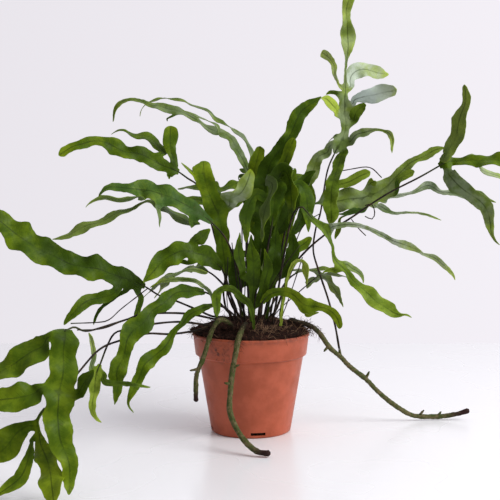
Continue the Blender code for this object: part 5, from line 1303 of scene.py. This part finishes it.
def row_spots(spot, across, normal, phase, swing):
    """Corners from one waved edge over the sunk rib to the other edge."""
    half = spot[3] / 2 * WIDTH_GAIN
    rib = spot[:3] - normal * KEEL * spot[3]
    spots = []
    for share in ACROSS:
        turn = phase + EDGE_SHIFT * (share > 0)
        surge = swing * (1 + SURGE * math.sin(SURGE_RATE * turn))
        reach = half * (1 + surge * SCALLOP * (math.cos(turn) - NOTCH * math.cos(2 * turn)))
        lift = surge * WAVE * WAVE_GAIN * half * math.sin(turn)
        edge = spot[:3] + across * math.copysign(reach, share) + normal * lift
        arch = ARCH * spot[3] * 2 * abs(share) * (1 - abs(share))
        spots.append(rib + (edge - rib) * abs(share) + normal * arch)
    return spots


def mark(bm, corner, *values):
    for name, value in zip(SHEET_LAYERS, values):
        corner[bm.verts.layers.float[name]] = value


print("a row has", len(ACROSS), "corners and keeps:", ", ".join(SHEET_LAYERS))

# %% [markdown]
# ### A strip of rows
#
# The sheet is grown with an operator: a row is extruded from place to place, and each new corner is set on
# its spot. At the tip the last row closes to a point. The waves swell from row to row, so that a blade is
# calm where it starts, and it gets younger toward its tip and darker toward its foot, partly with age and
# partly as painted shade near the crown.

# %% Grow a strip
WAVE_LENGTH = 27.0
CALM_ROWS = 2
TIP_YOUTH = 0.45
# A blade's foot is darkened, partly as older tissue and partly as painted shade near the crown.
FOOT_AGE_AND_SHADE = 0.3


def next_row(bm, row, spots):
    """Extrude a row of corners by one step, and put the new corners on their spots."""
    edges = [bm.edges.get(pair) for pair in zip(row, row[1:])]
    grown = bmesh.ops.extrude_edge_only(bm, edges=edges)["geom"]
    fresh = {item for item in grown if isinstance(item, bmesh.types.BMVert)}
    new_row = []
    for corner, spot in zip(row, spots):
        partners = (edge.other_vert(corner) for edge in corner.link_edges)
        new = next(partner for partner in partners if partner in fresh)
        new.co = spot
        new_row.append(new)
    return new_row


def grow_strip(bm, row, spots, stride, face, along, phase, tone, start=0.0):
    """Extrude a row along the spots to a tip; return the rows, tangents and normals."""
    tangents, normals = frames(spots[:, :3], face)
    flip = 1 if np.cross(tangents[0], normals[0]).dot(along) >= 0 else -1
    # A look's second number is painted sheen, which fades out toward the tip.
    youth, silver = tone
    rows = [row]
    last = len(spots) - 1
    for number in range(1, last + 1):
        across = flip * np.cross(tangents[number], normals[number])
        turn = phase + math.tau * number / 2 * stride / WAVE_LENGTH
        swing = min(1, number / 2 / CALM_ROWS)
        row = next_row(bm, row, row_spots(spots[number], across, normals[number], turn, swing))
        # Painted shade darkens the foot along with age; the tip gets younger.
        age_and_shading = youth + TIP_YOUTH * (number / last) ** 3 - FOOT_AGE_AND_SHADE * (1 - number / last) ** 3
        sheen = silver * (1 - (number / last) ** 4)
        for corner, share in zip(row, ACROSS):
            half = spots[number][3] / 2
            mark(bm, corner, half * abs(share), start + number * stride / 2, abs(share), age_and_shading, sheen)
        rows.append(row)
    bmesh.ops.pointmerge(bm, verts=row, merge_co=spots[-1][:3])
    rows.pop()
    return rows, tangents, normals


# The foot's darkening is partly age and partly painted shade near the crown.
print("a blade gets", TIP_YOUTH, "younger toward its tip and", FOOT_AGE_AND_SHADE, "older at its foot")

# %% [markdown]
# ### Where a lobe leaves
#
# A lobe leaves the edge over the length of one row of the solid, which is two rows here. A strip of its
# own, laid over the blade, would show a seam. Both edges are split once instead, which gives the five
# corners that a row needs. The corners between the two midribs are marked as rib, so the dark line branches
# as it does on the leaf.

# %% Start of a lobe
SPLIT_MARGIN = 0.3
SIDE_MIDDLE = (0.5, 0.18)
SIDE_TIP = (0.86, 0.5)
SIDE_DROOP = 0.16


def side_points(side, root, outward, tangent):
    """A lobe by rule: out from the midrib, then forward, then a little down."""
    middle = root + side.reach * (SIDE_MIDDLE[0] * outward + SIDE_MIDDLE[1] * tangent)
    tip = root + side.reach * (SIDE_TIP[0] * outward + SIDE_TIP[1] * tangent)
    return [(*middle, side.width), (tip[0], tip[1], tip[2] - SIDE_DROOP * side.reach, 0)]


def split_side(bm, rows, band, end):
    """Five corners for a lobe's first row, and how wide it is."""
    near, root_corner, far = (rows[band + step][end] for step in range(3))
    width = (near.co - far.co).length
    row = [near, bmesh.utils.edge_split(bm.edges.get((near, root_corner)), near, 0.5)[1], root_corner,
           bmesh.utils.edge_split(bm.edges.get((root_corner, far)), root_corner, 0.5)[1], far]
    inner = rows[band + 1][2 + (end - 2) // 2]
    for corner, share in zip((*row[1:4], inner), (0.5, 0.0, 0.5, 0.0)):
        corner[bm.verts.layers.float["rib"]] = share * width / 2
        corner[bm.verts.layers.float["margin"]] = SPLIT_MARGIN
    return row, width


print("a lobe by rule ends at", SIDE_TIP, "of its reach, outward and forward")

# %% [markdown]
# ### Grow a lobe
#
# From there a lobe grows as the blade does. It first heads half outward and half the way that it points,
# and narrows a little, which gives the rounded notch between lobes.

# %% Grow a lobe
LEAD = 6.0
WAIST = 0.85


def grow_lobe(bm, lobe, rows, tangents, normals, phase, tone, face):
    """Extrude a lobe from the side of the strip that it points to."""
    bands = len(rows) // 2
    band = 2 * max(1, min(int(lobe.at * (bands - 1)), bands - 2))
    tangent, normal = tangents[band], normals[band]
    sideways = np.cross(tangent, normal)
    middle = np.array((rows[band][2].co + rows[band + 2][2].co) / 2)
    if isinstance(lobe, Side):
        outward = sideways * lobe.turn
    else:
        away = np.array(lobe.points[0][:3]) - middle
        outward = sideways if away.dot(sideways) >= 0 else -sideways
    reaches = [(np.array(rows[band][end].co) - middle).dot(outward) for end in (0, 4)]
    end = 0 if reaches[0] > reaches[1] else 4
    row, width = split_side(bm, rows, band, end)
    root = np.array((row[0].co + row[4].co) / 2)
    start = row[2][bm.verts.layers.float["along"]]
    points = side_points(lobe, root, outward, tangent) if isinstance(lobe, Side) else lobe.points
    heading = np.array(points[0][:3]) - root
    heading = heading / np.linalg.norm(heading) + outward
    lead = root + heading / np.linalg.norm(heading) * LEAD
    first_width = WAIST * min(width, points[0][3])
    line, run = smooth_line([(*root, width), (*lead, first_width), *points])
    stops = tip_stops(0, run)
    spots = stations(line, run, halved(stops))
    grow_strip(bm, row, spots, stops[1], face or normal, tangent, phase, tone, start)


print("a lobe heads out for", LEAD, "mm before it turns")

# %% [markdown]
# ### Young, old and painted sheen
#
# No two blades of the plant have the same green. A finish for each would be dozens of finishes. Instead a
# look is two numbers: how young a blade is and its painted sheen, which its corners carry to the finish.

# %% Looks
# The second number of a look is painted sheen; shine and gleam go past 1 into a near-white painted
# highlight.
TONES = {
    "plain": (0.0, 0.0),
    "calm": (-0.12, 0.0),
    "deep": (-0.25, 0.0),
    "dark": (-0.5, 0.0),
    "fresh": (0.35, 0.0),
    "mixed": (0.75, 0.3),
    "bright": (0.9, 0.0),
    "shine": (0.4, 1.7),
    "gleam": (0.5, 1.3),
    "silver": (0.2, 1.0),
    "pale": (0.5, 0.6),
    "olive": (0.2, 0.35),
    "dusty": (0.05, 0.3),
    # lit is painted light: a young, sheened green for a lobe that lies in shade.
    "lit": (1.1, 0.5),
}
print("looks:", ", ".join(TONES))

# %% [markdown]
# ### The look of each blade
#
# Each frond, and each lobe that stands out in the photograph, is named here with its look, apart from the
# measured points. The first look is the blade's, the others are its lobes'. A few lobes also turn their
# face further to the viewer than their solids do.

# %% Looks of the blades
# On the tallest frond, lit paints light onto a shaded lobe, and shine and gleam paint its strongest
# highlights.
LOOKS = {
    "tallest": ("olive", "deep", "olive", "olive", "dark", "deep", "bright", "dark", "shine", "lit",
                "gleam"),
    "right_broad": ("mixed", "bright", "bright", "fresh", "silver", "pale", "dark", "bright"),
    "mid_left": ("plain", "fresh", "fresh", "olive"),
    "tall_left": ("calm", "pale", "fresh"),
    "back_left": ("dusty", "dusty", "olive", "dark"),
    "centre_tall": ("deep", "fresh", "fresh", "dark", "dark"),
    "right_drooping": ("calm", "silver", "dusty", "plain"),
    "far_left": ("plain", "plain", "dark", "plain"),
    "front_left": ("plain", "plain", "plain", "dark"),
    "front_low": ("fresh", "plain", "plain"),
    "inner_left": ("fresh", "olive", "dark"),
    "left_wavy": ("calm",),
    "left_arch": ("deep",),
    "upper_left": ("calm", "plain", "calm"),
    "right": ("plain", "fresh", "olive", "pale"),
    "low_right": ("fresh", "bright"),
    "leaf_hanging_light": ("bright",),
    "leaf_curled": ("dark",),
    "leaf_thin": ("olive",),
    "leaf_centre_front": ("dark",),
    "leaf_centre_inner": ("dark",),
    "leaf_dark_short": ("deep",),
}
TURNED = {
    ("right", 1): (0.2, -1.0, 0.1),
    ("right", 3): (0.0, -1.0, 0.5),
    ("upper_left", 2): (0.0, -1.0, 0.3),
}


def short(name):
    return name.removeprefix("frond_")


def tone_of(name, number):
    """The look of a blade (number 0) or of its lobe (from 1)."""
    looks = LOOKS.get(short(name), ("plain",))
    return TONES[looks[number] if number < len(looks) else looks[0]]


print("blades with a look of their own:", len(LOOKS), "lobes turned further:", len(TURNED))

# %% [markdown]
# ### From sheet to blade
#
# The sheet is subdivided twice and its margin is then crinkled by noise at a finer size than the waves; a
# bump alone would leave the outline smooth. Blender's noise vector takes its start from the clock unless it
# is seeded, so it gets a seed here, and every run gives the same blades. Solidify gives it its thickness
# and puts the underside's own finish on the lower face. The rim stays a sharp edge, so the shading of the
# broad faces isn't bent toward it.

# %% From sheet to blade
LAMINA_THICK = 0.55
CRINKLE = 0.7
CRINKLE_SIZE = 7.5
FRAY = 0.6
FRAY_SIZE = 4.0
FRAY_SEED = 27
SHEET_LEVELS = 2
RIM_ANGLE = math.radians(50)
noise.seed_set(FRAY_SEED)


def crinkle(mesh):
    """Move the corners near a margin up, down and sideways by noise, in metres."""
    margin = [item.value for item in mesh.attributes["margin"].data]
    for corner, share, normal in zip(mesh.vertices, margin, [v.normal.copy() for v in mesh.vertices]):
        spot = corner.co / MM
        lift = noise.noise(spot / CRINKLE_SIZE) * CRINKLE
        slide = noise.noise_vector(spot / FRAY_SIZE) * FRAY
        slide = slide - normal * slide.dot(normal)
        corner.co += (normal * lift + slide) * share ** 2 * MM


def sheet_to_blade(name, bm, facing, coats):
    """Subdivide the sheet, crinkle it and give it its thickness."""
    bmesh.ops.recalc_face_normals(bm, faces=bm.faces)
    bm.faces.ensure_lookup_table()
    if bm.faces[0].normal.dot(Vector(facing)) < 0:
        bmesh.ops.reverse_faces(bm, faces=bm.faces)
    blade = to_piece(name, bm, *coats)
    smooth = blade.modifiers.new("smooth", "SUBSURF")
    smooth.levels = smooth.render_levels = SHEET_LEVELS
    crinkle(evaluated(blade))
    solid = blade.modifiers.new("thickness", "SOLIDIFY")
    solid.thickness = LAMINA_THICK * MM
    solid.offset = 0
    solid.material_offset = 1
    evaluated(blade).set_sharp_from_angle(angle=RIM_ANGLE)
    return blade


print("each face of a sheet becomes", 4 ** SHEET_LEVELS, "faces on either side")

# %% [markdown]
# ### A whole blade
#
# The first row's corners are set one by one and all others grow from it. Each blade and each lobe starts
# its waves at a phase of its own, drawn at random.

# %% Make a blade
def make_blade(name, frond, spots, stride, draw, coats):
    bm = bmesh.new()
    for layer in SHEET_LAYERS:
        bm.verts.layers.float.new(layer)
    tangents, normals = frames(spots[:, :3], frond.face)
    across = np.cross(tangents[0], normals[0])
    tone = tone_of(frond.name, 0)
    first = [bm.verts.new(corner) for corner in row_spots(spots[0], across, normals[0], 0, 0)]
    for corner, share in zip(first, ACROSS):
        mark(bm, corner, spots[0][3] / 2 * abs(share), 0, abs(share), *tone)
    for pair in zip(first, first[1:]):
        bm.edges.new(pair)
    phase = draw.uniform(0, math.tau)
    rows, tangents, normals = grow_strip(bm, first, spots, stride, frond.face, across, phase, tone)
    for number, lobe in enumerate(frond.lobes, 1):
        look = tone_of(frond.name, number)
        face = TURNED.get((short(frond.name), number))
        grow_lobe(bm, lobe, rows, tangents, normals, draw.uniform(0, math.tau), look, face)
    return sheet_to_blade(name, bm, normals[0], coats)


print("a blade is", LAMINA_THICK, "mm thick")

# %% [markdown]
# ### Leathery green
#
# The blade's green is deep where it is old and yellow where it is young, mostly toward the tips and the
# margins. The four leaf slots share one recipe and differ in these two greens. The further colours are
# those of the dark line over the midrib, old patches and the painted shade at a blade's foot, a painted
# sheen, a painted highlight for the strongest sheen, the underside and dead spots.

# %% Leaf colours
LeafTone = namedtuple("LeafTone", "old young")
LEAF_TONES = {
    "leaf_dark": LeafTone((0.040, 0.080, 0.003), (0.150, 0.220, 0.006)),
    "leaf_mid": LeafTone((0.062, 0.112, 0.003), (0.210, 0.290, 0.010)),
    "leaf_light": LeafTone((0.100, 0.165, 0.008), (0.330, 0.430, 0.050)),
    # The teal slot's bluish cast is partly the leaves' own green and partly a painted reflection of the
    # pale room.
    "leaf_teal": LeafTone((0.044, 0.098, 0.014), (0.180, 0.260, 0.022)),
}
RIB_DARK = (0.016, 0.030, 0.003)
DEEP = (0.022, 0.042, 0.002)
# Painted reflection colours: a grey sheen, and a near-white painted highlight for the strongest sheen.
PAINTED_SHEEN_GREY = (0.420, 0.485, 0.345)
PAINTED_HIGHLIGHT = (0.68, 0.80, 0.76)
UNDER = (0.150, 0.190, 0.080)
BLEMISH = (0.110, 0.070, 0.018)
print("leaf slots:", ", ".join(LEAF_TONES))

# %% [markdown]
# ### Green that ages, with painted shade
#
# Age is a number: the blade's own youth, less painted shade at its foot, plus patches by noise, plus a
# little at the margin. It mixes old green with young, and where it is lowest, as at a shaded foot, the
# green goes nearly black. A painted picture would need every blade unwrapped; noise and the sheet's own
# values need nothing of the kind.

# %% Age of a leaf
PATCH_NOISE = (52, 4, 0.65)
CLOUD_NOISE = (110, 2)
PATCH_AGE = (-0.24, 0.36)
MARGIN_AGE = 0.16
AGE_SPAN = (-0.15, 1.05)
DEEP_SPAN = (-0.6, 0.05)


def aged_green(coat, tone, margin):
    patches = coat.step(coat.noise(*PATCH_NOISE), 0.34, 0.68, *PATCH_AGE)
    edge = coat.step(margin, 0.55, 1.0, 0, MARGIN_AGE)
    age_and_shading = coat.maths("ADD", coat.maths("ADD", coat.attribute("youth"), patches), edge)
    green = coat.mix(coat.step(age_and_shading, *AGE_SPAN), tone.old, tone.young)
    cloudy = coat.step(coat.noise(*CLOUD_NOISE), 0.3, 0.6, 0.5, 1)
    deep = coat.maths("MULTIPLY", coat.step(age_and_shading, *DEEP_SPAN, 0.8, 0), cloudy)
    return coat.mix(deep, green, DEEP)


print("patches change the age by", PATCH_AGE)

# %% [markdown]
# ### Veins, painted sheen and wax
#
# Faint side veins run out at a slant, a painted sheen lies in patches on the fronds that have it, a
# stand-in for light mirrored in the wax that turns to a painted highlight where it is strongest, and a dark
# line follows the midrib. The gloss is that of soft wax, low and patchy, so the green stays full; a strong
# one would mirror the pale room and wash it out. The underside is paler.

# %% Leaf finish
VEIN_SPACING = 5.2
VEIN_SLANT = 0.9
VEIN_STRENGTH = 0.10
RIB_NOISE = (60, 2)
PAINTED_SHEEN_NOISE = (75, 3)
SPECK_NOISE = (260, 3, 0.6)
WAX_NOISE = (150, 3)
SKIN_NOISE = (1100, 3, 0.6)
UNDER_SHARE = 0.35
LEAF_ROUGH = (0.38, 0.55)
LEAF_BUMP = 0.0005
LEAF_GLOSS = 0.08


def vein_lines(coat, rib, along, margin):
    slant = coat.maths("SUBTRACT", along, coat.maths("MULTIPLY", rib, VEIN_SLANT))
    wave = coat.maths("SINE", coat.maths("MULTIPLY", slant, math.tau / VEIN_SPACING))
    return coat.maths("MULTIPLY", coat.step(wave, 0.80, 1.0), coat.step(margin, 0.1, 0.9, 1, 0))


def rib_line(coat, rib, margin):
    line = coat.maths("MULTIPLY", coat.step(rib, 0.2, 0.95, 1, 0), coat.step(margin, 0.1, 0.3, 1, 0))
    return coat.maths("MULTIPLY", line, coat.step(coat.noise(*RIB_NOISE), 0.35, 0.6, 0.2, 0.6))


def leaf_coat(name, tone, under):
    coat = Coat(name)
    rib, along, margin = (coat.attribute(layer) for layer in ("rib", "along", "margin"))
    green = aged_green(coat, tone, margin)
    veins = vein_lines(coat, rib, along, margin)
    green = coat.mix(coat.maths("MULTIPLY", veins, VEIN_STRENGTH), green, DEEP)
    # Painted sheen: grey patches stand in for the pale room mirrored in the wax, and past 1 the value turns
    # to a near-white painted highlight.
    silver = coat.attribute("silver")
    pale = coat.maths("MULTIPLY", silver, coat.step(coat.noise(*PAINTED_SHEEN_NOISE), 0.36, 0.62, 0.25, 1.0))
    green = coat.mix(pale, green, PAINTED_SHEEN_GREY)
    green = coat.mix(coat.step(silver, 1.0, 2.0), green, PAINTED_HIGHLIGHT)
    if under:
        green = coat.mix(UNDER_SHARE, green, UNDER)
    green = coat.mix(coat.step(coat.noise(*SPECK_NOISE), 0.70, 0.76, 0, 0.5), green, BLEMISH)
    green = coat.mix(rib_line(coat, rib, margin), green, RIB_DARK)
    grain = coat.maths("MULTIPLY", coat.noise(*SKIN_NOISE), 0.25)
    normal = coat.bump(coat.maths("ADD", coat.maths("MULTIPLY", veins, -0.7), grain), 0.4, LEAF_BUMP)
    rough = coat.step(coat.noise(*WAX_NOISE), 0.3, 0.7, *LEAF_ROUGH)
    return coat.finish(base_color=green, roughness=rough, normal=normal, specular_ior_level=LEAF_GLOSS)


leaf_coats = {
    slot: (leaf_coat(slot + "_upper", tone, False), leaf_coat(slot + "_under", tone, True))
    for slot, tone in LEAF_TONES.items()
}
print("leaf finishes:", 2 * len(leaf_coats))

# %% [markdown]
# ### Wiry stalks
#
# A stalk is a dark wire, thickest at its foot, with small knots. It could end where the blade starts, but a
# gap would show. So it runs on a little way along the midrib and thins out there, as the real one does. Its
# colour goes from near black to brown-green where the blade starts.

# %% Stalks
STALK_FOOT = 1.2
STALK_TOP = 0.85
STALK_RING = 4.0
STALK_SIDES = 8
STALK_ENDS = 0.3
STALK_REACH = 9.0
KNOTS_SIZE = 9.0
KNOTS = 0.16
STALK_BLACK = (0.016, 0.012, 0.009)
STALK_BROWN = (0.050, 0.032, 0.018)
STALK_GREEN = (0.045, 0.062, 0.016)


def stalk_coat():
    coat = Coat("wiry_stalk")
    colour = coat.mix(coat.step(coat.noise(140, 3), 0.45, 0.7), STALK_BLACK, STALK_BROWN)
    colour = coat.mix(coat.step(coat.attribute("share"), 0.8, 1.0, 0, 0.8), colour, STALK_GREEN)
    normal = coat.bump(coat.noise(900), 0.3, 0.0002)
    return coat.finish(base_color=colour, roughness=0.6, normal=normal, specular_ior_level=0.12)


def make_stalk(name, line, run, junction):
    """A tube from the foot to just past the junction, with small knots."""
    places = stations(line[:, :3], run, even_stops(0, junction + STALK_REACH, STALK_RING))
    share = np.linspace(0, 1, len(places))
    radii = STALK_FOOT + (STALK_TOP - STALK_FOOT) * share
    knots = [1 + KNOTS * noise.noise(Vector(spot) / KNOTS_SIZE) for spot in places]
    thin = np.interp(share * (junction + STALK_REACH), [junction, junction + STALK_REACH], [1, STALK_ENDS])
    bm = bmesh.new()
    grow_tube(bm, places, radii * knots * thin, STALK_SIDES)
    return to_piece(name, bm, stalk_bark)


stalk_bark = stalk_coat()
print("stalk:", 2 * STALK_FOOT, "mm thick at its foot,", 2 * STALK_TOP, "mm at the blade")

# %% [markdown]
# ### One frond, one leaf
#
# A frond's stalk and blade follow one curve, so they meet without a kink, and each takes the place of one
# solid. A small leaf is green from the mix up and is all blade. The tallest frond starts on the peg of the
# right stem and not in the mix.

# %% Frond and leaf
PETIOLE_WIDTH = 2.4
JOINT_GAP = 0.45
JOINT_STEP = 3.0


def make_frond(frond, start, draw):
    knots = [(*point, 2 * STALK_TOP) for point in [*start, *frond.stem]] + list(frond.axis)
    line, run = smooth_line(knots)
    junction = run[FINE_STEPS * (len(start) + len(frond.stem))]
    stalk = make_stalk(short(frond.name) + "_stalk", line, run, junction)
    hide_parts(frond.name + "_stalk")
    stops = tip_stops(junction + JOINT_STEP, run)
    spots = stations(line, run, halved([junction + JOINT_GAP / 2, *stops]))
    blade = make_blade(short(frond.name) + "_blade", frond, spots, stops[1] - stops[0], draw,
                       leaf_coats[frond.slot])
    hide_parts(frond.name + "_blade")
    return blade


def make_leaf(leaf, draw):
    """A small undivided leaf that is green from the soil up."""
    start = [(*point, PETIOLE_WIDTH) for point in foot_points(leaf.foot)]
    line, run = smooth_line([*start, *leaf.axis])
    stops = tip_stops(run[FINE_STEPS], run)
    spots = stations(line, run, halved([0, *stops]))
    blade = make_blade("small_" + leaf.name, leaf, spots, stops[1] - stops[0], draw, leaf_coats[leaf.slot])
    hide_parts(leaf.name)
    return blade


def tallest_start():
    """The tallest stalk stands on the right stem's peg."""
    root, top = peg_ends()
    aim = (top - root) / np.linalg.norm(top - root)
    return [top + aim * GAP, top + aim * (GAP + STALK_RISE)]


print("the tallest frond starts at", tallest_start()[0].round().tolist(), "mm")

# %% [markdown]
# ## Grow the plant
#
# The draws of the waves come from one seeded source, in the order in which the solids took them: the
# fronds, then the tallest one, then the small leaves. So each fine blade waves where its solid does.

# %% Grow every frond and leaf
SEED = 27
wave_draw = random.Random(SEED)
blades = [make_frond(frond, foot_points(frond.foot), wave_draw)
          for frond in (*LOW_LEFT_FRONDS, *HIGH_LEFT_FRONDS, *MIDDLE_FRONDS, *RIGHT_FRONDS, *BACK_FRONDS)]
blades.append(make_frond(TALLEST, tallest_start(), wave_draw))
blades += [make_leaf(leaf, wave_draw) for leaf in LEAVES]
print("blades:", len(blades), "faces:", sum(len(b.data.polygons) for b in blades))

# %% [markdown]
# ### Dry threads
#
# Dead tendrils and bare stalks, no thicker than a wire, hang between the fronds. They are all dry and brown
# and need no bark of their own, so plain tubes in the stalks' finish will do. Each follows a few given
# points from the stalk, blade or soil that it starts at.

# %% Threads
THREAD_RADIUS = 0.55
THREADS = (
    ((96, 41, 266), (112, 38, 269), (120, 36, 270), (127, 33, 268), (136, 30, 259)),
    ((40, 0, 176), (50, 0, 205), (60, 0, 217), (70, 0, 223)),
    ((20, -20, 111), (26, -20, 125), (49, -20, 146), (71, -20, 165)),
    ((117, 10, 231), (124, 10, 232), (127, 10, 223), (124, 10, 217), (117, 10, 220)),
    ((103, 10, 217), (110, 10, 208), (118, 10, 200)),
    ((-98, -86, 157), (-122, -96, 139), (-132, -100, 130), (-141, -102, 127), (-169, -104, 126)),
    ((-95, -84, 137), (-119, -104, 129), (-139, -110, 122), (-162, -112, 121)),
    ((-8, -22, 110), (-6, -23, 150), (-5, -23, 200), (-4, -20, 244)),
    ((-11, -22, 110), (-9, -24, 150), (-9, -25, 214)),
    ((5, -25, 110), (11, -25, 133), (28, -25, 165), (49, -23, 193)),
    ((11, -24, 110), (17, -25, 133), (27, -26, 160), (34, -26, 180)),
    ((1, -27, 110), (4, -28, 138), (10, -29, 190)),
    ((-10, -27, 110), (-12, -28, 138), (-19, -30, 196)),
    ((28, -13, 110), (39, -13, 140), (52, -13, 180)),
    ((-19, -31, 109), (-24, -33, 140), (-23, -35, 182)),
)
THREAD_STEP = 4.0
THREAD_KNOTS = 0.32
THREAD_KNOTS_SIZE = 5

threads_mesh = bmesh.new()
for knots in THREADS:
    line, run = smooth_line(knots)
    places = stations(line, run, even_stops(0, run[-1], THREAD_STEP))
    swell = [1 + THREAD_KNOTS * noise.noise(Vector(spot) / THREAD_KNOTS_SIZE) for spot in places]
    grow_tube(threads_mesh, places, THREAD_RADIUS * np.array(swell), 6)
threads = to_piece("dry_threads", threads_mesh, stalk_bark)
print("threads:", len(THREADS), "faces:", len(threads.data.polygons))

# %% [markdown]
# ## Table
#
# The fern stands on a pale, slightly glossy table top whose far edge shows behind the pot. A plain plane
# would do from the front, but its edge would be a knife's. The top isn't part of the plant, so it is only
# staged.

# %% Table
TABLE_HALF = 538
TABLE_THICK = 30
TABLE_GLOSS = (0.22, 0.32)
TABLE_WHITE = (0.845, 0.85, 0.865)


def table_coat():
    coat = Coat("pale_table_top")
    rough = coat.step(coat.noise(6, 2), 0.3, 0.7, *TABLE_GLOSS)
    return coat.finish(base_color=TABLE_WHITE, roughness=rough)


table_mesh = bmesh.new()
bmesh.ops.create_cube(table_mesh, size=1)
bmesh.ops.scale(table_mesh, vec=(2 * TABLE_HALF, 2 * TABLE_HALF, TABLE_THICK), verts=table_mesh.verts)
bmesh.ops.translate(table_mesh, vec=(0, 0, -TABLE_THICK / 2), verts=table_mesh.verts)
table = to_object("table_top", table_mesh, table_coat())
print("table top:", 2 * TABLE_HALF, "mm wide,", TABLE_THICK, "mm thick")

# %% [markdown]
# ## Light
#
# Light is that of a bright room: pale all round, brighter on the right and dim behind the viewer, so the
# blades keep their green. One large soft lamp to the front right shapes the pot and the blades. More lamps
# would give more shadows on the table than the photograph has.

# %% Light
ROOM_COLOUR = (0.85, 0.82, 0.87)
ROOM_BEHIND = 0.40
ROOM_LEFT = 0.55
ROOM_SIDES = (0.93, 1.10)
KEY_SPOT = (1.25, -0.6, 1.15)
KEY_AIM = (0, 0, 0.15)
KEY_SIZE = 1.2
KEY_POWER = 27.0


class Room(Coat):
    """The same tools for the world, where the coordinates are the direction that is looked in."""

    def __init__(self, name):
        world = bpy.data.worlds.new(name)
        world.use_nodes = True
        self.tree = world.node_tree
        self.place = self.tree.nodes.new("ShaderNodeTexCoord").outputs["Generated"]
        bpy.context.scene.world = world


def light_room():
    room = Room("bright_room")
    way = room.node("ShaderNodeSeparateXYZ", {0: room.place})
    ahead = room.step(way.outputs["Y"], -1, 0.35, ROOM_BEHIND, 1)
    left = room.step(way.outputs["X"], -1, -0.2, ROOM_LEFT, 1)
    side = room.maths("MULTIPLY", left, room.step(way.outputs["X"], -0.5, 0.5, *ROOM_SIDES))
    background = room.tree.nodes["Background"]
    room.feed(background.inputs["Color"], ROOM_COLOUR)
    room.feed(background.inputs["Strength"], room.maths("MULTIPLY", ahead, side))


def add_lamp(name, spot, aim, size, power):
    lamp_data = bpy.data.lights.new(name, "AREA")
    lamp_data.shape = "DISK"
    lamp_data.size = size
    lamp_data.energy = power
    lamp = bpy.data.objects.new(name, lamp_data)
    lamp.location = spot
    lamp.rotation_euler = (Vector(spot) - Vector(aim)).to_track_quat("Z", "Y").to_euler()
    bpy.context.scene.collection.objects.link(lamp)


light_room()
bpy.context.scene.view_settings.view_transform = "Standard"
add_lamp("key_lamp", KEY_SPOT, KEY_AIM, KEY_SIZE, KEY_POWER)
print("key lamp:", KEY_POWER, "W at", KEY_SPOT, "m")

# %% [markdown]
